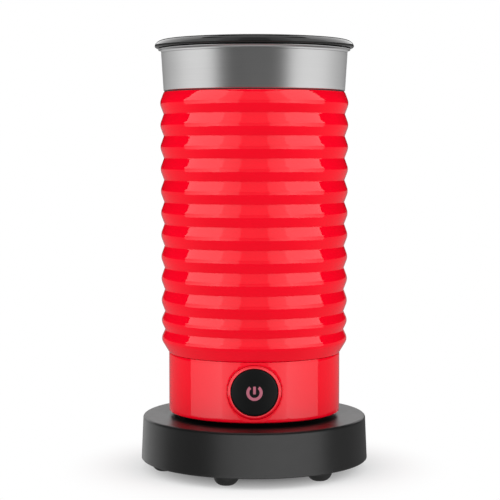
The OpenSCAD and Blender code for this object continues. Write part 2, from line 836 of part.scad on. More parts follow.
module motor_shaft() {
    color(STEEL) translate([0, 0, shaft_z]) cylinder(r = shaft_r, h = shaft_top_z - shaft_z, $fn = 48);
}

module motor_armature() {
    z0 = motor_z + 2.4;
    color([0.7, 0.4, 0.2]) translate([0, 0, z0]) difference() {
        cylinder(r = armature_r, h = motor_top_z - 2.4 - z0);
        translate([0, 0, -1]) cylinder(r = shaft_r + 0.02, h = 20, $fn = 48);
        for (a = [0 : 120 : 240]) rotate([0, 0, a]) translate([7.4, -0.8, -1]) cube([4, 1.6, 20]);
    }
}

module magnet_carrier() {
    color([0.9, 0.9, 0.88]) translate([0, 0, carrier_z]) difference() {
        union() {
            cylinder(r = carrier_r, h = carrier_top_z - carrier_z);
            translate([0, 0, -2]) cylinder(r = 3, h = 3);
        }
        translate([0, 0, -3]) cylinder(r = shaft_r + 0.02, h = shaft_top_z - carrier_z + 3, $fn = 48);
        for (i = [0 : magnet_count - 1]) around([45 + 360 * i / magnet_count], magnet_ring_r)
            translate([0, 0, magnet_top_z - magnet_h - carrier_z])
                cylinder(r = magnet_r + 0.05, h = magnet_h + 1);
    }
}

module drive_magnets() {
    color([0.55, 0.56, 0.58]) for (i = [0 : magnet_count - 1])
        around([45 + 360 * i / magnet_count], magnet_ring_r)
            translate([0, 0, magnet_top_z - magnet_h]) cylinder(r = magnet_r, h = magnet_h);
}

// ---- Button ----

// Power symbol, drawn upright in the X-Z plane and cut through the button's face
module icon_prism(grow) {
    translate([0, -36, button_z]) rotate([90, 0, 0]) linear_extrude(4) {
        difference() {
            circle(r = icon_out_r + grow);
            circle(r = icon_in_r - grow);
            polygon([[0, 0],
                2 * icon_out_r * [-sin(icon_gap), cos(icon_gap)],
                2 * icon_out_r * [sin(icon_gap), cos(icon_gap)]]);
        }
        translate([-icon_bar_w / 2 - grow, icon_bar_bottom])
            square([icon_bar_w + 2 * grow, icon_bar_top - icon_bar_bottom]);
    }
}

module button_cap() {
    color(BLACK) difference() {
        union() {
            intersection() {
                along_y(button_r, -band_r - 2, cap_flange_y + eps);
                cylinder(r = cap_face_r, h = seam_z);
            }
            along_y(cap_flange_r, cap_flange_y, cap_back_y);
        }
        floor_space();
        difference() {
            icon_prism(0);
            cylinder(r = cap_face_r - icon_depth, h = seam_z);
        }
    }
}

module power_icon() {
    color([0.75, 0.4, 0.45]) difference() {
        intersection() {
            icon_prism(-0.03);
            cylinder(r = cap_face_r, h = seam_z);
        }
        cylinder(r = cap_face_r - icon_depth, h = seam_z);
    }
}

module button_plunger() {
    color([0.9, 0.9, 0.9]) {
        along_y(4, cap_back_y, cap_back_y + 0.4);
        along_y(1.6, cap_back_y + 0.3, plunger_tip_y);
    }
}

module button_spring() {
    length = switch_board_y - cap_back_y - 2 * spring_wire_r - 0.1;
    steps = 14 * spring_turns;
    color(STEEL) translate([0, cap_back_y + spring_wire_r + 0.05, button_z]) rotate([-90, 0, 0])
        helix_wire([for (i = [0 : steps]) let (a = 360 * spring_turns * i / steps)
            [spring_r * cos(a), spring_r * sin(a), length * i / steps]], spring_wire_r, 6);
}

// ---- Whisk ----

module whisk_bush() {
    color([0.92, 0.92, 0.9]) difference() {
        union() {
            translate([0, 0, bush_z]) cylinder(r = bush_out_r, h = bush_top_z - bush_z);
            translate([0, 0, bush_z]) cylinder(r = bush_out_r + 0.9, h = 0.4);
        }
        translate([0, 0, bush_z - 1]) cylinder(r = bush_in_r, h = post_pin_top_z + 0.6 - bush_z + 1);
    }
}

module whisk_hub() {
    color(BLACK) difference() {
        union() {
            translate([0, 0, hub_z]) cylinder(r = hub_r, h = hub_disc_h);
            translate([0, 0, hub_z + hub_disc_h - eps])
                cylinder(r1 = hub_stem_r + 2, r2 = hub_stem_r, h = 2.4);
            translate([0, 0, hub_z]) cylinder(r = hub_stem_r, h = hub_top_z - 1 - hub_z);
            translate([0, 0, hub_top_z - 1 - eps]) cylinder(r1 = hub_stem_r, r2 = hub_stem_r - 1, h = 1);
        }
        translate([0, 0, hub_z - 1]) cylinder(r = hub_bore_r, h = bush_top_z + 0.4 - hub_z + 1);
        for (a = [0, 180]) around([a + 45], whisk_magnet_ring_r) translate([0, 0, hub_z - 1])
            cylinder(r = whisk_magnet_r + 0.05, h = whisk_magnet_h + 1.3);
        for (i = [0 : spoke_count - 1]) rotate([0, 0, 360 * i / spoke_count])
            translate([spoke_in_r - 0.1, 0, coil_z]) rotate([0, 90, 0])
                cylinder(r = spoke_r + 0.05, h = hub_r, $fn = 32);
    }
}

module whisk_magnets() {
    color([0.55, 0.56, 0.58]) for (a = [0, 180]) around([a + 45], whisk_magnet_ring_r)
        translate([0, 0, hub_z + 0.2]) cylinder(r = whisk_magnet_r, h = whisk_magnet_h);
}

module whisk_frame() {
    color(STEEL) {
        translate([0, 0, coil_z]) rotate_extrude()
            translate([whisk_ring_r, 0]) circle(r = ring_wire_r, $fn = 24);
        for (i = [0 : spoke_count - 1]) rotate([0, 0, 360 * i / spoke_count])
            translate([spoke_in_r, 0, coil_z]) rotate([0, 90, 0])
                cylinder(r = spoke_r, h = whisk_ring_r - spoke_in_r, $fn = 24);
    }
}

module whisk_coil() {
    color(STEEL) for (i = [0 : coil_loops - 1]) rotate([0, 0, 360 * (i + 0.5) / coil_loops])
        translate([whisk_ring_r, 0, coil_z]) rotate([90, 0, 6]) rotate_extrude($fn = 32)
            translate([coil_loop_r, 0]) circle(r = coil_wire_r, $fn = 16);
}

// ---- Lid ----

module lid_cover() {
    rim_h = lid_top_z - lid_edge_z;
    panel_z = lid_dish_z - lid_panel_t;
    color(BLACK) rotate_extrude() polygon(concat(
        [[window_hole_r, panel_z],
         [plug_in_r, panel_z],
         [plug_in_r, plug_bottom_z],
         [plug_r - 0.5, plug_bottom_z],
         [plug_r, plug_bottom_z + 0.6],
         [plug_r, seal_z],
         [plug_r - seal_groove, seal_z],
         [plug_r - seal_groove, seal_z + seal_h],
         [plug_r, seal_z + seal_h],
         [plug_r, lid_bevel_z]],
        [for (k = [0 : 4]) let (a = 90 * k / 4)
            [lip_r + (lid_r - lip_r) * sin(a), lid_edge_z - lid_nose_h * cos(a)]],
        [for (k = [1 : 7]) let (a = 90 * k / 7)
            [lid_r - lid_round_w * (1 - cos(a)), lid_edge_z + rim_h * sin(a)]],
        [[lid_rim_in_r, lid_top_z],
         [lid_dish_r, lid_dish_z],
         [window_r + window_gap, lid_dish_z],
         [window_r + window_gap, lid_dish_z - window_t],
         [window_hole_r, lid_dish_z - window_t]]));
}

module lid_seal() {
    root_r = plug_r - seal_groove + 0.05;
    color([0.3, 0.3, 0.3]) rotate_extrude() polygon([
        [root_r, seal_z + 0.1],
        [plug_r + 0.2, seal_z + 0.1],
        [seal_r, seal_z + 0.5],
        [seal_r, seal_z + 0.9],
        [plug_r + 0.3, seal_z + 1.1],
        [plug_r + 0.3, seal_z + 1.9],
        [seal_r, seal_z + 2.1],
        [seal_r, seal_z + 2.5],
        [plug_r + 0.2, seal_z + 2.9],
        [root_r, seal_z + 2.9]]);
}

module lid_window() {
    color([0.3, 0.3, 0.32, 0.5]) translate([0, 0, lid_dish_z - window_t])
        ring(window_r, screw_hole_r, window_t);
}

module lid_grip() {
    color(BLACK) difference() {
        rotate_extrude() polygon([
            [0, lid_dish_z],
            [grip_foot_r, lid_dish_z],
            [grip_foot_r - 0.5, lid_dish_z + 1.6],
            [grip_top_r - 0.4, lid_dish_z + 3],
            [grip_top_r, lid_dish_z + 3.5],
            [grip_top_r - 0.2, grip_top_z - 0.4],
            [grip_top_r - 1, grip_top_z],
            [0, grip_top_z]]);
        translate([0, 0, lid_dish_z - 1]) cylinder(r = pilot_r, h = 4.2);
    }
}

module grip_screw() {
    color(STEEL) translate([0, 0, lid_dish_z - window_t - head_h]) screw(4.2, head = 3.2);
}

base_housing();
base_bottom();
base_feet();
power_post();
post_contacts();
base_terminals();
base_screws();
cord_gland();
cord_clamp();
clamp_screws();
power_socket();
socket_contacts();
milk_vessel();
rib_sleeve();
lower_skirt();
skirt_base();
collar_seal();
socket_retainer();
retainer_screws();
skirt_screws();
button_bezel();
heater_plate();
heater_ring();
temp_sensor();
thermal_fuse();
motor_can();
motor_bearings();
motor_bracket();
bracket_screws();
control_board();
board_parts();
board_screws();
switch_board();
tact_switch();
status_leds();
wire_harness();
whisk_post();
motor_shaft();
motor_armature();
magnet_carrier();
drive_magnets();
button_cap();
power_icon();
button_plunger();
button_spring();
whisk_bush();
whisk_hub();
whisk_magnets();
whisk_frame();
whisk_coil();
lid_cover();
lid_seal();
lid_window();
lid_grip();
grip_screw();
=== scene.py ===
"""Electric milk frothing pitcher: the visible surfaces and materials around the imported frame.

Lengths are metres, written as millimetres times MM. The pitcher stands on Z = 0 at the origin and
its push button faces -Y. Places come from the frame's nodes wherever a node gives them.
"""
import json
import math

import bmesh
import bpy
from mathutils import Matrix, Vector, geometry


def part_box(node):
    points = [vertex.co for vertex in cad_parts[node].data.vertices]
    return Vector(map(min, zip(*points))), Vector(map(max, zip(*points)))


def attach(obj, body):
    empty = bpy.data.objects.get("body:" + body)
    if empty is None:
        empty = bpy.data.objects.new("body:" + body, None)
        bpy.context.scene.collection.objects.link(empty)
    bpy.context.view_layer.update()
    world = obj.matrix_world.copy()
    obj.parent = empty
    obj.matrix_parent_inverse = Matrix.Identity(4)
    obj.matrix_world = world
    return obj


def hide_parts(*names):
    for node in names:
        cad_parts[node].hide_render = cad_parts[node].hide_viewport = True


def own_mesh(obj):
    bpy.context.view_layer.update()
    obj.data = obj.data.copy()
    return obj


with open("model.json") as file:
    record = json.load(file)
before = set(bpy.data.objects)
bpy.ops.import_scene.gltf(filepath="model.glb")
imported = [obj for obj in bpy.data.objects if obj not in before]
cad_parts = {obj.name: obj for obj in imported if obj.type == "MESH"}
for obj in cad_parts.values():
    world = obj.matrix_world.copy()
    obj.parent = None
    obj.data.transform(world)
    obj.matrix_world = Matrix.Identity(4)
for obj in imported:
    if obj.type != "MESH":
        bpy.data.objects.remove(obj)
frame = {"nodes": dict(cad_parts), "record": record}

MM = 0.001
FRONT = -math.pi / 2
BACK = math.pi / 2
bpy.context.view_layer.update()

# ---------------------------------------------------------------- sizes, from the frame


def low(node):
    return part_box(node)[0]


def high(node):
    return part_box(node)[1]


BAND_R = high("lower_skirt").x
BAND_BOTTOM = low("lower_skirt").z
SEAM = low("rib_sleeve").z
SLEEVE_TOP = high("rib_sleeve").z
FLOOR_Z = low("milk_vessel").z
LIP_TOP = high("milk_vessel").z
LIP_R = high("milk_vessel").x
COLLAR_Z = high("collar_seal").z
LID_TOP = high("lid_cover").z
LID_R = high("lid_cover").x
LID_BOTTOM = low("lid_cover").z
WINDOW_TOP = high("lid_window").z
WINDOW_BOTTOM = low("lid_window").z
WINDOW_R = high("lid_window").x
BASE_R = high("base_housing").x
BASE_BOTTOM = low("base_housing").z
SEAT_TOP = high("base_housing").z
# The cap's box is cut off below, so its middle lies 0.65 mm above the axis of the CAD button
BUTTON_Z = (low("button_cap").z + high("button_cap").z) / 2
ICON_TOP = high("power_icon").z
COIL_Z = (low("whisk_frame").z + high("whisk_frame").z) / 2

# Sizes that the frame's boxes don't give, the same as in the CAD unless a comment says otherwise
BASE_TOP = 24.0 * MM
BASE_TOP_R = 49.6 * MM
BAND_WALL = 2.1 * MM
GROOVE_R = 40.15 * MM
RIB_DEPTH = 1.45 * MM
RIB_PITCH = 9.68 * MM
SHORT_PITCH = 8.1 * MM
REGULAR_RIBS = 10
SLEEVE_TAPER = 0.5 * MM
CREASE_Z = 184.3 * MM
COLLAR_R = 40.1 * MM
COLLAR_TOP_R = 41.1 * MM
STEEL_T = 0.8 * MM
VESSEL_R = 38.0 * MM
BUTTON_R = 9.9 * MM
BEZEL_IN_R = 10.2 * MM
BEZEL_OUT_R = 11.53 * MM  # with the hole round it, a little more than in the CAD
BEZEL_LIP_R = 10.85 * MM
BUTTON_HOLE_R = 11.66 * MM
GLAND_HOLE_R = 5.1 * MM
GLAND_Z = 14.0 * MM
CAVITY_FLOOR = 28.95 * MM
HOLE_SIDES = 96

# ---------------------------------------------------------------- mesh tools


def arc(centre, radius, start, end, steps):
    """Points (r, z) along an arc, with angles in degrees."""
    angles = [math.radians(start + (end - start) * i / steps) for i in range(steps + 1)]
    return [(centre[0] + radius * math.cos(a), centre[1] + radius * math.sin(a)) for a in angles]


def fine(points, step):
    """The same outline with its straight stretches divided into lengths of at most step."""
    out = [points[0]]
    for a, b in zip(points, points[1:]):
        count = max(1, math.ceil(math.dist(a, b) / step))
        out += [(a[0] + (b[0] - a[0]) * k / count, a[1] + (b[1] - a[1]) * k / count)
                for k in range(1, count + 1)]
    return out


def finish_mesh(name, bm, body, slot, nodes, sharp=32):
    """Turns a bmesh into a piece that rides on a body, stands for CAD nodes and names its slot."""
    bmesh.ops.recalc_face_normals(bm, faces=bm.faces)
    mesh = bpy.data.meshes.new(name)
    bm.to_mesh(mesh)
    bm.free()
    for polygon in mesh.polygons:
        polygon.use_smooth = True
    mesh.set_sharp_from_angle(angle=math.radians(sharp))
    piece = bpy.data.objects.new(name, mesh)
    bpy.context.scene.collection.objects.link(piece)
    piece.data.materials.append(MATERIALS[slot])
    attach(piece, body)
    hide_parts(*nodes)
    return piece


def bridge(bm, ring, after):
    """Faces between two loops of the same length. Corners that meet at a pole count once."""
    for i in range(len(ring)):
        k = (i + 1) % len(ring)
        corners = list(dict.fromkeys((ring[i], ring[k], after[k], after[i])))
        if len(corners) > 2:
            bm.faces.new(corners)


def spin(bm, outline, columns, matrix=Matrix.Identity(4)):
    """Adds the surface of revolution of a closed outline of (r, z) points; r = 0 makes a pole."""
    rings = []
    for r, z in outline:
        if r < 1e-9:
            vert = bm.verts.new(matrix @ Vector((0, 0, z)))
            rings.append([vert] * columns)
            continue
        turn = [2 * math.pi * i / columns for i in range(columns)]
        rings.append([bm.verts.new(matrix @ Vector((r * math.cos(a), r * math.sin(a), z))) for a in turn])
    for ring, after in zip(rings, rings[1:] + rings[:1]):
        bridge(bm, ring, after)


def lathe(name, outline, body, slot, nodes, columns=192, sharp=32):
    bm = bmesh.new()
    spin(bm, outline, columns)
    finish_mesh(name, bm, body, slot, nodes, sharp)


def on_wall(facing, radius, side, z):
    """Point at sideways distance side and height z on a round wall, seen from direction facing."""
    depth = math.sqrt(radius * radius - side * side)
    ahead = Vector((math.cos(facing), math.sin(facing), 0))
    across = Vector((-math.sin(facing), math.cos(facing), 0))
    return ahead * depth + across * side + Vector((0, 0, z))


def pierced_shell(name, outline, windows, facing, hole_z, rim, body, slot, nodes):
    """Surface of revolution with one round hole through it.

    outline is a closed list of (r, z). windows are two index ranges of it, the stretches of outer
    and inner wall that the hole cuts, each with the hole's radius there. rim lists (radius, depth)
    of loops between the two, where depth is how far each lies under the outer wall. The wall is
    triangulated out to reach times the hole's radius.
    """
    columns, reach = 240, 1.35
    bm = bmesh.new()
    count = len(outline)
    turn = [facing + 2 * math.pi * i / columns for i in range(columns)]
    grid = [[bm.verts.new((r * math.cos(a), r * math.sin(a), z)) for r, z in outline] for a in turn]
    patch = math.ceil(columns * (rim[0][0] * reach) / (2 * math.pi * outline[windows[0][0]][0]))
    inside = {j for first, last, _ in windows for j in range(first, last)}
    for i in range(columns):
        for j in range(count):
            near = min(i, columns - 1 - i) < patch
            if near and j in inside:
                continue
            k, m = (i + 1) % columns, (j + 1) % count
            bm.faces.new((grid[i][j], grid[k][j], grid[k][m], grid[i][m]))
    loops = []
    for first, last, hole_r in windows:
        loops.append(fill_window(bm, grid, outline, columns, patch, first, last, facing, hole_z, hole_r))
    middle = [round_loop(bm, outline, windows[0], facing, hole_z, r, depth) for r, depth in rim]
    between = [loops[0], *middle, loops[1]]
    for ring, after in zip(between, between[1:]):
        bridge(bm, ring, after)
    finish_mesh(name, bm, body, slot, nodes)


def wall_radius(outline, window, z):
    (r0, z0), (r1, z1) = outline[window[0]], outline[window[1]]
    return r0 + (r1 - r0) * (z - z0) / (z1 - z0)


def round_loop(bm, outline, window, facing, hole_z, hole_r, depth):
    verts = []
    for k in range(HOLE_SIDES):
        a = 2 * math.pi * k / HOLE_SIDES
        z = hole_z + hole_r * math.sin(a)
        radius = wall_radius(outline, window, z) - depth
        verts.append(bm.verts.new(on_wall(facing, radius, hole_r * math.cos(a), z)))
    return verts


def fill_window(bm, grid, outline, columns, patch, first, last, facing, hole_z, hole_r):
    """Triangulates the wall round a hole, in the unrolled plane, and returns the hole's loop."""
    margin = 0.35 * MM
    hole_share = 0.998
    loop = round_loop(bm, outline, (first, last), facing, hole_z, hole_r, 0)
    verts, flat = [], []
    for k, vert in enumerate(loop):
        a = 2 * math.pi * k / HOLE_SIDES
        radius = wall_radius(outline, (first, last), vert.co.z)
        flat.append((math.asin(hole_r * math.cos(a) / radius) * outline[first][0], vert.co.z))
        verts.append(vert)
    for i in range(-patch, patch + 1):
        for j in range(first, last + 1):
            vert = grid[i % columns][j]
            side = outline[j][0] * math.sin(2 * math.pi * i / columns)
            border = abs(i) == patch or j in (first, last)
            if border or math.hypot(side, vert.co.z - hole_z) > hole_r + margin:
                flat.append((2 * math.pi * i / columns * outline[first][0], vert.co.z))
                verts.append(vert)
            else:
                bm.verts.remove(vert)
    edges = [(k, (k + 1) % HOLE_SIDES) for k in range(HOLE_SIDES)]
    scale = 1 / MM
    result = geometry.delaunay_2d_cdt([Vector(p) * scale for p in flat], edges, [], 0, 1e-6)
    for face in result[2]:
        middle = sum((Vector(result[0][k]) for k in face), Vector((0, 0))) / len(face) / scale
        side = outline[first][0] * math.sin(middle.x / outline[first][0])
        if math.hypot(side, middle.y - hole_z) > hole_r * hole_share:
            corners = [verts[result[3][k][0]] for k in face]
            bm.faces.new(corners)
    return loop


def wrapped(name, outline, facing, centre_z, body, slot, nodes):
    """Surface of revolution about a level axis, whose front follows a round wall.

    Outline points are (r, "wall", R) on the wall of radius R, or (r, "flat", d) at distance d
    from the vertical axis. Points "flat" stay above the cavity's floor.
    """
    columns = 128
    bm = bmesh.new()
    rings = []
    for r, kind, size in outline:
        ring = []
        for k in range(columns):
            a = 2 * math.pi * k / columns
            side, z = r * math.cos(a), centre_z + r * math.sin(a)
            if kind == "wall":
                place = on_wall(facing, size, side, z)
            else:
                place = on_wall(facing, math.hypot(size, side), side, max(z, CAVITY_FLOOR))
            if r < 1e-9 and ring:
                ring.append(ring[0])
            else:
                ring.append(bm.verts.new(place))
        rings.append(ring)
    for ring, after in zip(rings, rings[1:] + rings[:1]):
        bridge(bm, ring, after)
    finish_mesh(name, bm, body, slot, nodes)


def inlay(bm, outline, facing, centre_z, levels):
    """Adds a thin plate with that (side, height) outline, following a round wall.

    levels are (radius, inset) from the buried face to the visible one.
    """
    count = len(outline)
    loops = []
    for radius, inset in levels:
        loop = []
        for i, point in enumerate(outline):
            before, after = Vector(outline[i - 1]), Vector(outline[(i + 1) % count])
            along = (after - before).normalized()
            side, height = point[0] - along.y * inset, point[1] + along.x * inset
            loop.append(bm.verts.new(on_wall(facing, radius, side, centre_z + height)))
        loops.append(loop)
    for ring, after in zip(loops, loops[1:]):
        bridge(bm, ring, after)
    edges = [(i, (i + 1) % count) for i in range(count)]
    flat = geometry.delaunay_2d_cdt([Vector(p) / MM for p in outline], edges, [], 1, 1e-6)
    for loop in (loops[0], loops[-1]):
        for face in flat[2]:
            bm.faces.new([loop[flat[3][k][0]] for k in face])


# ---------------------------------------------------------------- material tools

NOISE_LOW, NOISE_HIGH = 0.3, 0.7


class Nodes:
    """A material's node tree, with short calls for the nodes used here."""

    def __init__(self, name):
        self.material = bpy.data.materials.new(name)
        self.material.use_nodes = True
        self.tree = self.material.node_tree
        self.shader = self.tree.nodes["Principled BSDF"]
        self.place = self.tree.nodes.new("ShaderNodeTexCoord").outputs["Object"]

    def put(self, **values):
        for key, value in values.items():
            self.shader.inputs[key.replace("_", " ").title().replace("Ior", "IOR")].default_value = value
        return self

    def stretched(self, scale):
        mapping = self.tree.nodes.new("ShaderNodeMapping")
        mapping.inputs["Scale"].default_value = scale
        self.tree.links.new(self.place, mapping.inputs["Vector"])
        return mapping.outputs["Vector"]

    def noise(self, scale, detail, roughness=0.5, vector=None):
        node = self.tree.nodes.new("ShaderNodeTexNoise")
        node.inputs["Scale"].default_value = scale
        node.inputs["Detail"].default_value = detail
        node.inputs["Roughness"].default_value = roughness
        self.tree.links.new(vector or self.place, node.inputs["Vector"])
        return node.outputs["Fac"]

    def span(self, value, low_in, high_in, low_out, high_out):
        node = self.tree.nodes.new("ShaderNodeMapRange")
        node.inputs["From Min"].default_value = low_in
        node.inputs["From Max"].default_value = high_in
        node.inputs["To Min"].default_value = low_out
        node.inputs["To Max"].default_value = high_out
        self.tree.links.new(value, node.inputs["Value"])
        return node.outputs["Result"]

    def ramp(self, value, stops):
        node = self.tree.nodes.new("ShaderNodeValToRGB")
        band = node.color_ramp
        while len(band.elements) < len(stops):
            band.elements.new(0.5)
        for element, (place, colour) in zip(band.elements, stops):
            element.position = place
            element.color = (*colour, 1)
        self.tree.links.new(value, node.inputs["Fac"])
        return node.outputs["Color"]

    def tint(self, value, dark, light):
        """Base colour from dark to light over the range that noise mostly stays in."""
        return self.link("Base Color", self.ramp(value, [(NOISE_LOW, dark), (NOISE_HIGH, light)]))

    def rough(self, value, least, most):
        """Roughness from least to most over the same range."""
        return self.link("Roughness", self.span(value, NOISE_LOW, NOISE_HIGH, least, most))

    def math(self, kind, a, b):
        node = self.tree.nodes.new("ShaderNodeMath")
        node.operation = kind
        for socket, value in zip(node.inputs, (a, b)):
            if isinstance(value, (int, float)):
                socket.default_value = value
            else:
                self.tree.links.new(value, socket)
        return node.outputs["Value"]

    def bump(self, layers):
        """layers are (height, strength, distance), laid one over the other."""
        normal = None
        for height, strength, distance in layers:
            node = self.tree.nodes.new("ShaderNodeBump")
            node.inputs["Strength"].default_value = strength
            node.inputs["Distance"].default_value = distance
            self.tree.links.new(height, node.inputs["Height"])
            if normal is not None:
                self.tree.links.new(normal, node.inputs["Normal"])
            normal = node.outputs["Normal"]
        self.tree.links.new(normal, self.shader.inputs["Normal"])
        return self

    def link(self, socket, output):
        self.tree.links.new(output, self.shader.inputs[socket])
        return self


def grey(level):
    return (level, level, level)


def painted_edge_highlight(nodes, base, edge_highlight_colour, amount):
    """Painted highlight: colour that turns lighter on convex edges, by the surface's own pointiness, broken
    up by noise.
    """
    pointy = nodes.tree.nodes.new("ShaderNodeNewGeometry").outputs["Pointiness"]
    highlight_breakup = nodes.noise(900, 4)
    mask = nodes.math("MULTIPLY", nodes.span(pointy, 0.52, 0.6, 0, amount), highlight_breakup)
    mix = nodes.tree.nodes.new("ShaderNodeMix")
    mix.data_type = "RGBA"
    nodes.tree.links.new(mask, mix.inputs["Factor"])
    nodes.tree.links.new(base, mix.inputs["A"])
    mix.inputs["B"].default_value = (*edge_highlight_colour, 1)
    return mix.outputs["Result"]


def red_lacquer(name, deep, bright):
    n = Nodes(name).put(coat_weight=1.0, coat_roughness=0.03, coat_ior=1.5, specular_ior_level=0.0)
    cloud = n.noise(38, 3)
    n.tint(cloud, deep, bright)
    n.rough(n.noise(260, 4), 0.3, 0.42)
    peel = n.noise(1100, 2)
    dust = n.noise(5200, 2)
    return n.bump([(peel, 0.05, 0.1 * MM), (dust, 0.02, 0.02 * MM)]).material


def painted_lip_highlight_lacquer(name, face, lip):
    """Lacquer whose colour is paler and softer on the bezel's raised lip, as a painted highlight."""
    n = Nodes(name).put(coat_weight=1.0, coat_roughness=0.05, coat_ior=1.5, specular_ior_level=0.0)
    flat = n.tree.nodes.new("ShaderNodeMapping")
    flat.inputs["Location"].default_value = (0, 0, -BUTTON_Z)
    flat.inputs["Scale"].default_value = (1, 0, 1)
    n.tree.links.new(n.place, flat.inputs["Vector"])
    reach = n.tree.nodes.new("ShaderNodeVectorMath")
    reach.operation = "LENGTH"
    n.tree.links.new(flat.outputs["Vector"], reach.inputs[0])
    # ring masks the raised lip, where the paler colour is a painted highlight
    ring = n.span(reach.outputs["Value"], BEZEL_LIP_R - 0.15 * MM, BEZEL_LIP_R + 0.05 * MM, 0, 1)
    n.link("Base Color", n.ramp(ring, [(0.0, lip), (1.0, face)]))
    n.rough(n.noise(260, 4), 0.3, 0.42)
    return n.bump([(n.noise(1100, 2), 0.05, 0.1 * MM)]).material


def brushed_steel(name, dark, light, rough):
    """Steel with fine lines that run round the vertical axis."""
    line_scale = (22, 22, 2600)
    broad_scale = (9, 9, 120)
    n = Nodes(name).put(metallic=1.0, anisotropic=0.55)
    lines = n.noise(1, 5, 0.65, n.stretched(line_scale))
    broad = n.noise(1, 3, 0.5, n.stretched(broad_scale))
    tone = n.math("ADD", n.math("MULTIPLY", lines, 0.6), n.math("MULTIPLY", broad, 0.4))
    n.tint(tone, dark, light)
    n.rough(lines, rough - 0.02, rough + 0.04)
    tangent = n.tree.nodes.new("ShaderNodeTangent")
    tangent.direction_type = "RADIAL"
    tangent.axis = "Z"
    n.link("Tangent", tangent.outputs["Tangent"])
    return n.bump([(lines, 0.05, 0.02 * MM)]).material


def plain_metal(name, dark, light, rough):
    n = Nodes(name).put(metallic=1.0)
    n.tint(n.noise(220, 4), dark, light)
    n.rough(n.noise(350, 3), rough - 0.015, rough + 0.025)
    return n.bump([(n.noise(1500, 3), 0.08, 0.02 * MM)]).material


def moulded(name, dark, light, rough, grain=1900.0, strength=0.16, coat=0.0, edge_highlight=None, specular=0.5,
            vary=0.05):
    """Moulded plastic with a fine even texture, and a painted highlight on its edges where an edge colour
    is given.
    """
    n = Nodes(name).put(coat_weight=coat, coat_roughness=0.05, specular_ior_level=specular)
    colour = n.ramp(n.noise(60, 4), [(NOISE_LOW, dark), (NOISE_HIGH, light)])
    # Convex edges turn lighter here: a painted highlight
    if edge_highlight:
        colour = painted_edge_highlight(n, colour, edge_highlight, 0.8)
    n.link("Base Color", colour)
    n.rough(n.noise(340, 4), rough - vary, rough + vary)
    coarse, finer = n.noise(grain, 2), n.noise(grain * 3.1, 2)
    return n.bump([(coarse, strength, 0.05 * MM), (finer, 0.5 * strength, 0.02 * MM)]).material


def smoked(name):
    n = Nodes(name).put(transmission_weight=0.92, ior=1.49, alpha=1.0)
    n.tint(n.noise(45, 3), (0.2, 0.2, 0.21), (0.24, 0.24, 0.25))
    n.link("Roughness", n.span(n.noise(700, 4), 0.35, 0.7, 0.02, 0.1))
    return n.bump([(n.noise(900, 2), 0.02, 0.02 * MM)]).material


def solder_mask(name):
    """Green board with copper tracks showing faintly through it."""
    n = Nodes(name).put(coat_weight=0.6, coat_roughness=0.12)
    cells = n.tree.nodes.new("ShaderNodeTexVoronoi")
    cells.distance = "MANHATTAN"
    cells.feature = "DISTANCE_TO_EDGE"
    cells.inputs["Scale"].default_value = 260
    n.tree.links.new(n.place, cells.inputs["Vector"])
    track, mask = (0.05, 0.3, 0.14), (0.012, 0.14, 0.06)
    n.link("Base Color", n.ramp(cells.outputs["Distance"], [(0.04, track), (0.1, mask)]))
    n.rough(n.noise(800, 3), 0.3, 0.45)
    return n.bump([(cells.outputs["Distance"], 0.2, 0.05 * MM)]).material


def wound_copper(name):
    n = Nodes(name).put(metallic=0.9)
    turns = n.noise(1, 2, 0.5, n.stretched((150, 150, 5200)))
    n.tint(turns, (0.45, 0.18, 0.07), (0.83, 0.42, 0.2))
    n.rough(turns, 0.25, 0.4)
    return n.bump([(turns, 0.6, 0.1 * MM)]).material


def floor_paper(name):
    """White paper that shows the shadow near the pitcher and fades into the background."""
    n = Nodes(name).put(specular_ior_level=0.0)
    n.tint(n.noise(14, 3), grey(0.86), grey(0.9))
    n.rough(n.noise(60, 3), 0.7, 0.8)
    n.bump([(n.noise(900, 3), 0.05, 0.05 * MM)])
    reach = n.tree.nodes.new("ShaderNodeVectorMath")
    reach.operation = "LENGTH"
    n.tree.links.new(n.place, reach.inputs[0])
    glow = n.tree.nodes.new("ShaderNodeEmission")
    mix = n.tree.nodes.new("ShaderNodeMixShader")
    fade = n.tree.nodes.new("ShaderNodeMapRange")
    fade.interpolation_type = "SMOOTHSTEP"
    fade.inputs["From Min"].default_value = 0.01
    fade.inputs["From Max"].default_value = 0.09
    n.tree.links.new(reach.outputs["Value"], fade.inputs["Value"])
    n.tree.links.new(fade.outputs["Result"], mix.inputs["Fac"])
    n.tree.links.new(n.shader.outputs["BSDF"], mix.inputs[1])
    n.tree.links.new(glow.outputs["Emission"], mix.inputs[2])
    n.tree.links.new(mix.outputs["Shader"], n.tree.nodes["Material Output"].inputs["Surface"])
    return n.material


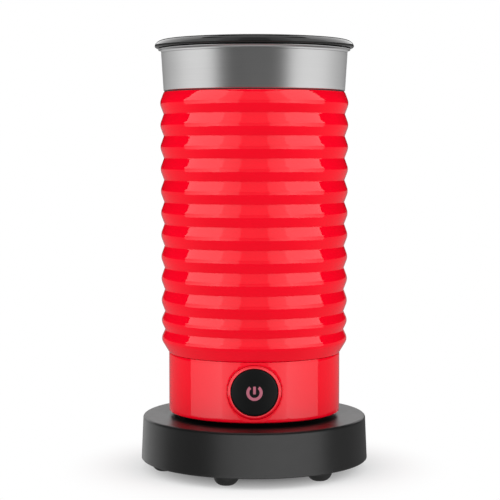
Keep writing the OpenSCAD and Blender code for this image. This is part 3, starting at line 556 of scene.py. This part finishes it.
MATERIALS = {
    "red_gloss": red_lacquer("red_gloss", (0.82, 0.001, 0.013), (0.88, 0.0013, 0.016)),
    # The bezel's paler lip colour is a painted highlight
    "red_bezel": painted_lip_highlight_lacquer("red_bezel", (0.8, 0.001, 0.013), (0.83, 0.04, 0.052)),
    "brushed_steel": brushed_steel("brushed_steel", grey(0.52), grey(0.57), 0.3),
    "bright_steel": plain_metal("bright_steel", grey(0.6), grey(0.72), 0.18),
    "zinc_steel": plain_metal("zinc_steel", (0.5, 0.52, 0.55), (0.66, 0.67, 0.68), 0.34),
    "heater_steel": plain_metal("heater_steel", (0.3, 0.26, 0.23), (0.5, 0.46, 0.42), 0.4),
    "aluminium": plain_metal("aluminium", (0.68, 0.69, 0.7), (0.8, 0.81, 0.82), 0.35),
    "brass": plain_metal("brass", (0.65, 0.46, 0.17), (0.83, 0.63, 0.28), 0.22),
    "magnet": plain_metal("magnet", (0.4, 0.4, 0.42), (0.56, 0.56, 0.58), 0.2),
    "copper": wound_copper("copper"),
    # The lighter grey on its convex edges is a painted highlight
    "black_plastic": moulded("black_plastic", grey(0.0105), grey(0.0125), 0.38,
                             edge_highlight=grey(0.05), vary=0.012),
    "black_gloss": moulded("black_gloss", grey(0.006), grey(0.009), 0.14, 900.0, 0.02, 0.55,
                           specular=0.12),
    "black_satin": moulded("black_satin", (0.004, 0.0045, 0.0045), (0.006, 0.0065, 0.0065), 0.32,
                           1400.0, 0.05, specular=0.16),
    "grey_plastic": moulded("grey_plastic", (0.18, 0.18, 0.19), (0.24, 0.24, 0.25), 0.5),
    "white_plastic": moulded("white_plastic", (0.76, 0.76, 0.73), (0.84, 0.84, 0.81), 0.45),
    "whisk_plastic": moulded("whisk_plastic", (0.03, 0.03, 0.032), (0.05, 0.05, 0.052), 0.38),
    "ceramic": moulded("ceramic", (0.66, 0.62, 0.52), (0.76, 0.73, 0.64), 0.7),
    "board_parts": moulded("board_parts", (0.03, 0.035, 0.06), (0.07, 0.08, 0.13), 0.4),
    "rubber": moulded("rubber", grey(0.012), grey(0.022), 0.55, 2400.0, 0.2),
    "icon_pink": moulded("icon_pink", (0.42, 0.11, 0.16), (0.5, 0.14, 0.2), 0.4, 1500.0, 0.05),
    "circuit_board": solder_mask("circuit_board"),
    "smoked": smoked("smoked"),
}

# ---------------------------------------------------------------- pitcher


def groove_z(i):
    """Height of the groove under rib i, counted from the top; 0 is the sleeve's top edge."""
    regular = min(i, REGULAR_RIBS)
    return SLEEVE_TOP - regular * RIB_PITCH - (i - regular) * SHORT_PITCH


def groove_radius(z):
    return GROOVE_R - SLEEVE_TAPER * (SLEEVE_TOP - z) / (SLEEVE_TOP - SEAM)


def rib_outline(i, foot=None):
    """Outline of rib i from its upper groove down, with a round crest and straight flanks.

    foot is the (r, z) where the lowest rib ends.
    """
    crest_round = 1.6 * MM
    steps = 7
    top = groove_z(i - 1)
    crest = (groove_z(i - 1) + groove_z(i)) / 2
    crest_r = groove_radius(crest) + RIB_DEPTH

    def side(sign, depth, height):
        drop = depth * crest_round / (2 * height - crest_round)
        places = [k / steps for k in range(1, steps + 1)]
        return [(crest_r - drop * s * s, crest + sign * crest_round * s) for s in places]

    above = side(1, RIB_DEPTH, top - crest)[::-1]
    if foot:
        below = side(-1, crest_r - foot[0], crest - foot[1])
    else:
        below = side(-1, RIB_DEPTH, top - crest)
    return above + [(crest_r, crest)] + below


def soft_groove(i):
    """The groove between ribs i and i + 1, with a small round bottom."""
    z = groove_z(i)
    radius = groove_radius(z)
    half, lift = 0.28 * MM, 0.075 * MM
    return [(radius + lift, z + half), (radius + lift / 4, z + half / 2), (radius + 0.01 * MM, z),
            (radius + lift / 4, z - half / 2), (radius + lift, z - half)]


def ribbed_sleeve():
    last = REGULAR_RIBS + 2
    inner_r, foot_inner_r = 38.6 * MM, 36.5 * MM
    foot_r = BAND_R + 0.1 * MM
    outline = [(inner_r, SLEEVE_TOP), (groove_radius(SLEEVE_TOP) - 0.25 * MM, SLEEVE_TOP),
               (groove_radius(SLEEVE_TOP) + 0.02 * MM, SLEEVE_TOP - 0.3 * MM)]
    for i in range(1, last):
        outline += rib_outline(i) + soft_groove(i)
    outline += rib_outline(last, (foot_r, SEAM))
    outline += [(foot_r + 0.05 * MM, SEAM + 0.3 * MM), (foot_r - 0.12 * MM, SEAM + 0.02 * MM),
                (foot_inner_r, SEAM), (foot_inner_r, SEAM + 4 * MM), (inner_r, SEAM + 8 * MM)]
    lathe("ribbed_sleeve", outline, "jug", "red_gloss", ["rib_sleeve"], columns=256)


def red_band():
    """Smooth band with the round button opening, its spigot standing up inside the sleeve."""
    top = SEAM - 0.2 * MM
    inner_r = BAND_R - BAND_WALL
    edge = 0.6 * MM
    spigot_r, spigot_in_r, spigot_top = 36.2 * MM, 34.6 * MM, SEAM + 3 * MM
    outer = fine([(BAND_R, BAND_BOTTOM + edge), (BAND_R, top - 0.3 * MM)], 1.4 * MM)
    inner = fine([(inner_r, top - 3.6 * MM), (inner_r, BAND_BOTTOM + 0.4 * MM)], 1.4 * MM)
    start = arc((BAND_R - edge, BAND_BOTTOM + edge), edge, -90, 0, 6)[:-1]
    above = [(BAND_R - 0.09 * MM, top - 0.09 * MM), (BAND_R - 0.3 * MM, top), (spigot_r, top),
             (spigot_r, spigot_top), (spigot_in_r, spigot_top), (spigot_in_r, top - 2 * MM)]
    outline = start + outer + above + inner + [(inner_r + 0.3 * MM, BAND_BOTTOM)]
    first = len(start)
    second = first + len(outer) + len(above)
    windows = [(first, first + len(outer) - 1, BUTTON_HOLE_R + 0.22 * MM),
               (second, second + len(inner) - 1, BUTTON_HOLE_R)]
    rim = [(BUTTON_HOLE_R + 0.06 * MM, 0.07 * MM), (BUTTON_HOLE_R, 0.24 * MM)]
    pierced_shell("red_band", outline, windows, FRONT, BUTTON_Z, rim, "jug", "red_gloss", ["lower_skirt"])


def steel_vessel():
    """Deep-drawn vessel: straight wall, shoulder, flared collar, a cove and a rounded lip."""
    inner_r = VESSEL_R - STEEL_T
    corner = 4 * MM
    floor_in = FLOOR_Z + STEEL_T
    groove = 0.16 * MM
    outline = [(0, FLOOR_Z)]
    outline += arc((VESSEL_R - corner, FLOOR_Z + corner), corner, -90, 0, 10)
    outline += [(VESSEL_R, COLLAR_Z - 0.02 * MM), (VESSEL_R + 0.1 * MM, COLLAR_Z),
                (COLLAR_R - 0.3 * MM, COLLAR_Z), (COLLAR_R - 0.02 * MM, COLLAR_Z + 0.28 * MM)]
    outline += fine([(COLLAR_R, COLLAR_Z + 0.5 * MM), (COLLAR_TOP_R, CREASE_Z - 0.2 * MM)], 2 * MM)
    outline += [(COLLAR_TOP_R - groove, CREASE_Z - 0.06 * MM),
                (COLLAR_TOP_R - groove, CREASE_Z + 0.06 * MM)]
    cove = 1.5 * MM
    outline += arc((COLLAR_TOP_R + cove, CREASE_Z + 0.12 * MM), cove, 180, 112, 8)
    outline += arc((LIP_R - 0.3 * MM, LIP_TOP - 0.3 * MM), 0.3 * MM, -40, 90, 6)
    outline += [(LIP_R - 1.15 * MM, LIP_TOP), (COLLAR_TOP_R - STEEL_T - 0.02 * MM, CREASE_Z + 0.3 * MM)]
    outline += [(COLLAR_R - STEEL_T, COLLAR_Z + 1.2 * MM),
                (COLLAR_R - STEEL_T - 0.4 * MM, COLLAR_Z + STEEL_T),
                (inner_r + 0.4 * MM, COLLAR_Z + STEEL_T), (inner_r, COLLAR_Z + 0.4 * MM)]
    level_marks = (150 * MM, 112 * MM)
    for mark_z in level_marks:
        outline += [(inner_r, mark_z + 0.5 * MM), (inner_r - 0.25 * MM, mark_z + 0.15 * MM),
                    (inner_r - 0.25 * MM, mark_z - 0.15 * MM), (inner_r, mark_z - 0.5 * MM)]
    outline += arc((inner_r - corner + STEEL_T, floor_in + corner - STEEL_T), corner - STEEL_T, 0, -90, 8)
    outline += [(0, floor_in)]
    lathe("steel_vessel", outline, "jug", "brushed_steel", ["milk_vessel"], columns=256, sharp=38)


def gasket():
    z0, z1 = low("collar_seal").z, high("collar_seal").z
    outer = high("collar_seal").x
    inner = VESSEL_R + 0.1 * MM
    middle = (z0 + z1) / 2
    outline = [(inner, z0)] + arc((outer - 0.25 * MM, middle), 0.25 * MM, -90, 90, 6) + [(inner, z1)]
    lathe("collar_gasket", outline, "jug", "rubber", ["collar_seal"])


def bezel():
    """Ring round the button with a raised lip at its inner edge and its retaining flange inside."""
    wall = BAND_R
    out, lip, inn = BEZEL_OUT_R, BEZEL_LIP_R, BEZEL_IN_R
    flange_front, flange_back, flange_r = 33.4 * MM, 32.2 * MM, 12.8 * MM
    outline = [
        (out, "flat", flange_front), (out, "flat", wall - BAND_WALL), (out, "wall", wall - BAND_WALL),
        (out, "wall", wall - 1.2 * MM), (out, "wall", wall - 0.12 * MM),
        (out - 0.07 * MM, "wall", wall), (out - 0.2 * MM, "wall", wall + 0.06 * MM),
        (lip + 0.08 * MM, "wall", wall + 0.08 * MM), (lip - 0.06 * MM, "wall", wall + 0.16 * MM),
        (lip - 0.18 * MM, "wall", wall + 0.26 * MM), (lip - 0.3 * MM, "wall", wall + 0.3 * MM),
        (inn + 0.24 * MM, "wall", wall + 0.28 * MM), (inn + 0.1 * MM, "wall", wall + 0.18 * MM),
        (inn + 0.02 * MM, "wall", wall), (inn, "wall", wall - 0.4 * MM),
        (inn, "flat", flange_back), (flange_r, "flat", flange_back), (flange_r, "flat", flange_front),
    ]
    wrapped("bezel_ring", outline, FRONT, BUTTON_Z, "jug", "red_bezel", ["button_bezel"])


def cap():
    """Black button face that follows the band, on a plug with a retaining flange."""
    face = BAND_R + 0.05 * MM
    flange_front, flange_back, flange_r = 31.9 * MM, 30.9 * MM, 11.2 * MM
    outline = [(0, "wall", face)]
    outline += [(r * MM, "wall", face) for r in (1.2, 2.4, 3.6, 4.8, 6, 7.2, 8.4, 9.2)]
    outline += [(BUTTON_R - 0.34 * MM, "wall", face - 0.015 * MM),
                (BUTTON_R - 0.1 * MM, "wall", face - 0.1 * MM),
                (BUTTON_R, "wall", face - 0.32 * MM), (BUTTON_R, "flat", flange_front),
                (flange_r, "flat", flange_front), (flange_r, "flat", flange_back), (0, "flat", flange_back)]
    wrapped("cap", outline, FRONT, BUTTON_Z, "button", "black_satin", ["button_cap"])


def power_symbol():
    """Open ring and bar, let into the button's face."""
    out, inn, gap = 3.48 * MM, 2.16 * MM, 39
    bar_half = 0.6 * MM
    bar_top, bar_bottom = ICON_TOP - BUTTON_Z + 0.1 * MM, -0.7 * MM
    face = BAND_R + 0.05 * MM
    levels = [(face - 0.4 * MM, 0), (face - 0.02 * MM, 0), (face + 0.025 * MM, 0.05 * MM)]
    bm = bmesh.new()
    ring = arc((0, 0), out, 90 + gap, 450 - gap, 40) + arc((0, 0), inn, 450 - gap, 90 + gap, 32)
    inlay(bm, ring, FRONT, BUTTON_Z, levels)
    radius = bar_half * 0.5
    bar = arc((bar_half - radius, bar_bottom + radius), radius, -90, 0, 5)
    bar += arc((bar_half - radius, bar_top - radius), radius, 0, 90, 5)
    bar += arc((radius - bar_half, bar_top - radius), radius, 90, 180, 5)
    bar += arc((radius - bar_half, bar_bottom + radius), radius, 180, 270, 5)
    inlay(bm, bar, FRONT, BUTTON_Z, levels)
    finish_mesh("power_symbol", bm, "button", "icon_pink", ["power_icon"], 30)


# ---------------------------------------------------------------- power base


def base_shell():
    """Conical wall with softened edges and the hole for the lead's gland at the back."""
    wall = 2.2 * MM
    edge = 1.2 * MM
    roof = BASE_TOP - 2.4 * MM
    post_hole_r = 12 * MM
    seat_in, seat_out = 24 * MM, 27 * MM
    foot_edge = 0.4 * MM
    lower = [(BASE_R - 0.8 * MM, BASE_BOTTOM), (BASE_R - 0.3 * MM, BASE_BOTTOM + 0.08 * MM)]
    outer = fine([(BASE_R, BASE_BOTTOM + foot_edge), (BASE_TOP_R, BASE_TOP - edge)], 1.2 * MM)
    inner = fine([(BASE_TOP_R - wall, roof - 0.4 * MM), (BASE_R - wall, BASE_BOTTOM + 0.2 * MM)], 1.2 * MM)
    above = arc((BASE_TOP_R - edge, BASE_TOP - edge), edge, 8, 90, 8)
    seat_edge = 0.3 * MM
    above += [(seat_out + 0.5 * MM, BASE_TOP), (seat_out, BASE_TOP + seat_edge),
              (seat_out, SEAT_TOP - seat_edge), (seat_out - seat_edge, SEAT_TOP),
              (seat_in + seat_edge, SEAT_TOP), (seat_in, SEAT_TOP - seat_edge), (seat_in, BASE_TOP),
              (post_hole_r, BASE_TOP), (post_hole_r, roof), (BASE_TOP_R - wall - 0.6 * MM, roof)]
    outline = lower + outer + above + inner + [(BASE_R - wall, BASE_BOTTOM)]
    first = len(lower)
    second = first + len(outer) + len(above)
    windows = [(first, first + len(outer) - 1, GLAND_HOLE_R + 0.2 * MM),
               (second, second + len(inner) - 1, GLAND_HOLE_R)]
    rim = [(GLAND_HOLE_R + 0.06 * MM, 0.08 * MM), (GLAND_HOLE_R, 0.26 * MM)]
    pierced_shell("base_shell", outline, windows, BACK, GLAND_Z, rim, "base", "black_plastic",
                  ["base_housing"])


def rubber_feet():
    """Six domes, each with the flat that it stands on and the plug that holds it."""
    count, first, ring_r = 6, -107, 41 * MM
    dome_r, flat_r, plug_r = 5.6 * MM, 1.8 * MM, 5 * MM
    plug_top = high("base_feet").z
    dome = [(flat_r + (dome_r - flat_r) * math.sin(s), BASE_BOTTOM * (1 - math.cos(s)))
            for s in (math.pi / 2 * k / 14 for k in range(15))]
    outline = [(0, 0)] + dome + [(plug_r, BASE_BOTTOM), (plug_r, plug_top), (0, plug_top)]
    bm = bmesh.new()
    for i in range(count):
        angle = math.radians(first + 360 * i / count)
        spin(bm, outline, 56, Matrix.Translation((ring_r * math.cos(angle), ring_r * math.sin(angle), 0)))
    finish_mesh("rubber_feet", bm, "base", "rubber", ["base_feet"])


# ---------------------------------------------------------------- lid and whisk


def lid_shell():
    """Flange with a blunt rounded rim, dished inside, with the plug below."""
    rim_w, nose_w, nose_h = 4 * MM, LID_R - LIP_R, 0.8 * MM
    edge_z = LIP_TOP + 0.3 * MM + nose_h
    dish_z = WINDOW_TOP
    panel_z = dish_z - 2.6 * MM
    plug_r, plug_in = 38.4 * MM, 36.6 * MM
    seal_low, seal_high, seal_depth = 179 * MM, 182 * MM, 1 * MM
    rim_h = LID_TOP - edge_z
    hole_r, rebate_r = 26 * MM, WINDOW_R + 0.1 * MM
    outline = [(hole_r, panel_z), (plug_in - 0.8 * MM, panel_z), (plug_in, panel_z - 0.8 * MM),
               (plug_in, LID_BOTTOM),
               (plug_r - 0.5 * MM, LID_BOTTOM), (plug_r, LID_BOTTOM + 0.6 * MM), (plug_r, seal_low),
               (plug_r - seal_depth, seal_low), (plug_r - seal_depth, seal_high), (plug_r, seal_high),
               (plug_r, LIP_TOP + 0.3 * MM)]
    turns = [math.pi / 2 * k / 16 for k in range(17)]
    outline += [(LIP_R + nose_w * math.sin(a), edge_z - nose_h * math.cos(a)) for a in turns]
    outline += [(LID_R - rim_w * (1 - math.cos(a)), edge_z + rim_h * math.sin(a)) for a in turns[1:]]
    outline += [(37.9 * MM, LID_TOP), (37.5 * MM, LID_TOP - 0.12 * MM), (37.2 * MM, LID_TOP - 0.5 * MM),
                (35.7 * MM, dish_z + 0.6 * MM), (35.3 * MM, dish_z + 0.15 * MM), (34.8 * MM, dish_z),
                (rebate_r, dish_z), (rebate_r, WINDOW_BOTTOM), (hole_r, WINDOW_BOTTOM)]
    lathe("lid_shell", outline, "lid", "black_gloss", ["lid_cover"], columns=256)


def lid_ring():
    """Silicone seal with two soft fins."""
    z0 = low("lid_seal").z
    root, tip, neck = 37.45 * MM, high("lid_seal").x, 38.65 * MM
    outline = [(root, z0), (neck, z0)]
    for fin in (0.6 * MM, 2.2 * MM):
        outline += [(neck, z0 + fin - 0.4 * MM)] + arc((tip - 0.2 * MM, z0 + fin), 0.2 * MM, -80, 80, 5)
        outline += [(neck, z0 + fin + 0.4 * MM)]
    outline += [(neck, z0 + 2.8 * MM), (root, z0 + 2.8 * MM)]
    lathe("seal_ring", outline, "lid", "rubber", ["lid_seal"])


def lid_disc():
    hole_r, bevel = 1.5 * MM, 0.15 * MM
    outline = [(hole_r, WINDOW_BOTTOM), (WINDOW_R - bevel, WINDOW_BOTTOM),
               (WINDOW_R, WINDOW_BOTTOM + bevel), (WINDOW_R, WINDOW_TOP - bevel),
               (WINDOW_R - bevel, WINDOW_TOP), (hole_r, WINDOW_TOP)]
    lathe("window_disc", outline, "lid", "smoked", ["lid_window"])


def grip():
    """Mushroom grip with a narrow waist for the fingertips."""
    z0, top = low("lid_grip").z, high("lid_grip").z
    foot_r, head_r = 6.5 * MM, high("lid_grip").x
    outline = [(0, z0), (foot_r, z0), (foot_r - 0.1 * MM, z0 + 0.5 * MM)]
    outline += arc((foot_r + 1.5 * MM, z0 + 1.4 * MM), 1.6 * MM, 200, 110, 8)
    outline += arc((head_r - 0.6 * MM, top - 0.9 * MM), 0.6 * MM, -70, 0, 5)
    outline += arc((head_r - 0.8 * MM, top - 0.8 * MM), 0.8 * MM, 10, 90, 8)
    outline += [(head_r * 0.5, top - 0.12 * MM), (0, top - 0.2 * MM)]
    lathe("grip_knob", outline, "lid", "black_gloss", ["lid_grip"])


def wind_wire(bm, point, centre, count, wire_r, closed=False):
    """Round wire along point(t), t from 0 to 1, with its sides turned away from centre(t)."""
    sides = 8
    turn = [2 * math.pi * k / sides for k in range(sides)]
    step = 1e-4
    rings = []
    for i in range(count if closed else count + 1):
        t = i / count
        here = point(t)
        along = (point(t + step) - point(t - step)).normalized()
        out = (here - centre(t)).normalized()
        out = (out - along * out.dot(along)).normalized()
        side = along.cross(out)
        ring = [here + wire_r * (math.cos(a) * out + math.sin(a) * side) for a in turn]
        rings.append([bm.verts.new(corner) for corner in ring])
    pairs = list(zip(rings, rings[1:]))
    if closed:
        pairs.append((rings[-1], rings[0]))
    else:
        bm.faces.new(rings[0][::-1])
        bm.faces.new(rings[-1])
    for ring, after in pairs:
        bridge(bm, ring, after)


def whisk_spring():
    """One wound spring closed into a ring, where the frame has separate loops."""
    ring_r, loop_r, wire_r = 16 * MM, 2.9 * MM, 0.45 * MM
    turns, per_turn = 34, 16
    bm = bmesh.new()

    def centre(t):
        around = 2 * math.pi * t
        return Vector((ring_r * math.cos(around), ring_r * math.sin(around), COIL_Z))

    def point(t):
        around = 2 * math.pi * t
        wind = turns * around
        r = ring_r + loop_r * math.cos(wind)
        return Vector((r * math.cos(around), r * math.sin(around), COIL_Z + loop_r * math.sin(wind)))

    wind_wire(bm, point, centre, turns * per_turn, wire_r, closed=True)
    finish_mesh("whisk_spring", bm, "whisk", "bright_steel", ["whisk_coil"])


def return_spring():
    """The button's coil spring, which shortens as the real button goes in; here it is drawn at one length.
    """
    wire_r, turns, travel = 0.3 * MM, 4, 1.0 * MM
    front, back = low("button_spring").y, high("button_spring").y
    coil_r = high("button_spring").x - wire_r
    bm = bmesh.new()

    def centre(t):
        return Vector((0, front + wire_r + (back - front - 2 * wire_r) * t, BUTTON_Z))

    def point(t):
        wind = 2 * math.pi * turns * t
        return centre(t) + coil_r * Vector((math.cos(wind), 0, -math.sin(wind)))

    wind_wire(bm, point, centre, 28 * turns, wire_r)
    coil = finish_mesh("return_spring", bm, "jug", "bright_steel", ["button_spring"])
    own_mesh(coil)


# ---------------------------------------------------------------- carried-over nodes


def dress_frame_nodes():
    """Every CAD node that still shows takes the material of its slot."""
    slots = {part["node"]: part["material_slot"] for part in frame["record"]["subparts"]}
    for node, piece in frame["nodes"].items():
        piece.data.materials.clear()
        piece.data.materials.append(MATERIALS[slots[node]])


# ---------------------------------------------------------------- stage, light and camera


def floor_disc():
    radii, columns = (0.1, 0.25, 0.5, 1.3), 96
    turn = [2 * math.pi * i / columns for i in range(columns)]
    bm = bmesh.new()
    loops = [[bm.verts.new((r * math.cos(a), r * math.sin(a), 0)) for a in turn] for r in radii]
    bm.faces.new(loops[0])
    for ring, after in zip(loops, loops[1:]):
        bridge(bm, ring, after)
    mesh = bpy.data.meshes.new("floor")
    bm.to_mesh(mesh)
    bm.free()
    floor = bpy.data.objects.new("floor", mesh)
    floor.data.materials.append(floor_paper("floor_paper"))
    floor.visible_glossy = False
    floor.visible_shadow = False
    bpy.context.scene.collection.objects.link(floor)


def softbox(name, azimuths, elevations, radiance, only=(), without=(), fill=False):
    """Upright area light that fills that range of azimuths and elevations, in degrees, as the
    pitcher sees it. Azimuth 0 is the camera's side and positive is to its right. radiance is one
    value, or one at each azimuth. A fill light adds no reflections. only and without name pieces
    that it lights alone, or doesn't light.
    """
    distance, aim_z = 1.0, 100 * MM
    a = math.radians(sum(azimuths) / 2)
    away = Vector((math.sin(a), -math.cos(a), 0))
    bottom, top = (distance * math.tan(math.radians(e)) for e in elevations)
    light = bpy.data.lights.new(name, "AREA")
    light.shape = "RECTANGLE"
    light.size = 2 * distance * math.tan(math.radians(abs(azimuths[1] - azimuths[0])) / 2)
    light.size_y = top - bottom
    light.energy = math.pi * light.size * light.size_y
    first, last = radiance if isinstance(radiance, tuple) else (radiance, radiance)
    if azimuths[0] > azimuths[1]:
        first, last = last, first
    light.use_nodes = True
    tree = light.node_tree
    across = tree.nodes.new("ShaderNodeSeparateXYZ")
    level = tree.nodes.new("ShaderNodeMapRange")
    level.inputs["To Min"].default_value = first
    level.inputs["To Max"].default_value = last
    tree.links.new(tree.nodes.new("ShaderNodeNewGeometry").outputs["Parametric"], across.inputs["Vector"])
    tree.links.new(across.outputs["X"], level.inputs["Value"])
    tree.links.new(level.outputs["Result"], tree.nodes["Emission"].inputs["Strength"])
    lamp = bpy.data.objects.new(name, light)
    lamp.location = Vector((0, 0, aim_z + (bottom + top) / 2)) + away * distance
    lamp.rotation_euler = away.to_track_quat("Z", "Y").to_euler()
    add_lamp(lamp, only, without, fill)


def overhead(name, radiance, size, height, only=()):
    light = bpy.data.lights.new(name, "AREA")
    light.size = size
    light.energy = radiance * math.pi * size * size
    lamp = bpy.data.objects.new(name, light)
    lamp.location = (0, 0, height)
    add_lamp(lamp, only)


def add_lamp(lamp, only=(), without=(), fill=False):
    lamp.visible_camera = False
    lamp.visible_glossy = not fill
    bpy.context.scene.collection.objects.link(lamp)
    if only or without:
        group = bpy.data.collections.new(lamp.name + "_lit")
        for piece in only or without:
            group.objects.link(bpy.data.objects[piece])
        lamp.light_linking.receiver_collection = group
        for member in group.collection_objects:
            member.light_linking.link_state = "INCLUDE" if only else "EXCLUDE"


def studio():
    """Upright area lights, most of them linked by piece, so that the steel, the base and the lid each
    show the photo's reflections. This isn't one plain studio light: with shared lights alone the
    steel and the base look different.

    The world is white to the camera. Everything else meets a dark sky over a dim ground, which is
    darker towards the front.
    """
    base = ("base_shell", "rubber_feet")
    steel = ("steel_vessel",)
    lid = ("lid_shell",)
    for side, name, steel_edge in ((-1, "left", 47), (1, "right", 42)):

        def span(inner, outer):
            return (side * inner, side * outer)

        softbox(name + "_high", span(43, 95), (14, 60), 1.85, without=base + steel)
        softbox(name + "_inner_high", span(18, 43), (14, 60), (0.9, 1.25), without=base + steel)
        softbox(name + "_low", span(43, 93), (-16, 14), (1.85, 0.72), without=base + steel)
        softbox(name + "_inner_low", span(18, 43), (-16, 14), (0.8, 1.45), without=base + steel)
        softbox(name + "_steel", span(steel_edge, 100), (-20, 20), (1.3, 0.98), only=steel)
        softbox(name + "_steel_high", span(steel_edge, 95), (20, 60), 1.1, only=steel)
        softbox(name + "_steel_rear", span(100, 160), (-20, 20), (0.81, 0.22), only=steel)
        softbox(name + "_rim", span(95, 165), (15, 60), (2.9, 1.3), only=lid)
        softbox(name + "_fill", span(60, 130), (0, 50), 0.9, fill=True)
    softbox("front_high", (-18, 18), (14, 60), 0.5, without=base + steel)
    softbox("front_low", (-18, 18), (-16, 14), 0.28, without=base + steel)
    softbox("steel_front", (-18, 18), (-20, 20), 0.1, only=steel)
    softbox("steel_back", (120, 240), (22, 60), 2.2, only=steel)
    softbox("steel_under", (-70, 70), (-75, -32), 0.38, only=steel)
    softbox("base_front", (-38, 72), (-22, 8), (1.7, 2.35), only=base)
    softbox("base_left", (-100, -160), (-30, 10), (0.5, 0.9), only=base)
    softbox("back", (140, 220), (4, 30), 1.5, only=base)
    overhead("top", 1.2, 0.8, 1.1)
    overhead("vessel_inside", 1.6, 0.8, 1.1, only=steel)
    world = bpy.data.worlds.new("studio")
    world.use_nodes = True
    bpy.context.scene.world = world
    tree = world.node_tree
    seen = tree.nodes["Background"]
    seen.inputs["Color"].default_value = (1, 1, 1, 1)
    seen.inputs["Strength"].default_value = 1.0
    felt = tree.nodes.new("ShaderNodeBackground")
    felt.inputs["Color"].default_value = (1, 1, 1, 1)
    split = tree.nodes.new("ShaderNodeSeparateXYZ")
    horizon, sky = 0.02, 0.01
    front, rear = (-0.9, 0.1), (0.1, 0.22)  # a direction's Y, and the ground's strength there
    below = tree.nodes.new("ShaderNodeMapRange")
    for socket, value in (("From Min", -horizon), ("From Max", horizon), ("To Max", sky)):
        below.inputs[socket].default_value = value
    ground = tree.nodes.new("ShaderNodeMapRange")
    places = ("From Min", "To Min", "From Max", "To Max")
    for socket, value in zip(places, (*front, *rear)):
        ground.inputs[socket].default_value = value
    ray = tree.nodes.new("ShaderNodeLightPath")
    mix = tree.nodes.new("ShaderNodeMixShader")
    tree.links.new(tree.nodes.new("ShaderNodeTexCoord").outputs["Generated"], split.inputs["Vector"])
    tree.links.new(split.outputs["Y"], ground.inputs["Value"])
    tree.links.new(split.outputs["Z"], below.inputs["Value"])
    tree.links.new(ground.outputs["Result"], below.inputs["To Min"])
    tree.links.new(below.outputs["Result"], felt.inputs["Strength"])
    tree.links.new(ray.outputs["Is Camera Ray"], mix.inputs["Fac"])
    tree.links.new(felt.outputs["Background"], mix.inputs[1])
    tree.links.new(seen.outputs["Background"], mix.inputs[2])
    tree.links.new(mix.outputs["Shader"], tree.nodes["World Output"].inputs["Surface"])
    bpy.context.scene.view_settings.view_transform = "Standard"


def camera():
    """Nearly level view of the front, from a little above the middle, through a long lens."""
    aside, distance, height, tilt = -1.9 * MM, 700 * MM, 142.6 * MM, 3.7
    data = bpy.data.cameras.new("camera")
    data.lens = 113.4
    data.sensor_width = 36
    data.clip_start = 0.01
    item = bpy.data.objects.new("camera", data)
    item.location = (aside, -distance, height)
    item.rotation_euler = (math.radians(90 - tilt), 0, 0)
    bpy.context.scene.collection.objects.link(item)
    bpy.context.scene.camera = item


camera()
floor_disc()
dress_frame_nodes()
ribbed_sleeve()
red_band()
steel_vessel()
gasket()
bezel()
cap()
power_symbol()
base_shell()
rubber_feet()
lid_shell()
lid_ring()
lid_disc()
grip()
whisk_spring()
return_spring()
studio()
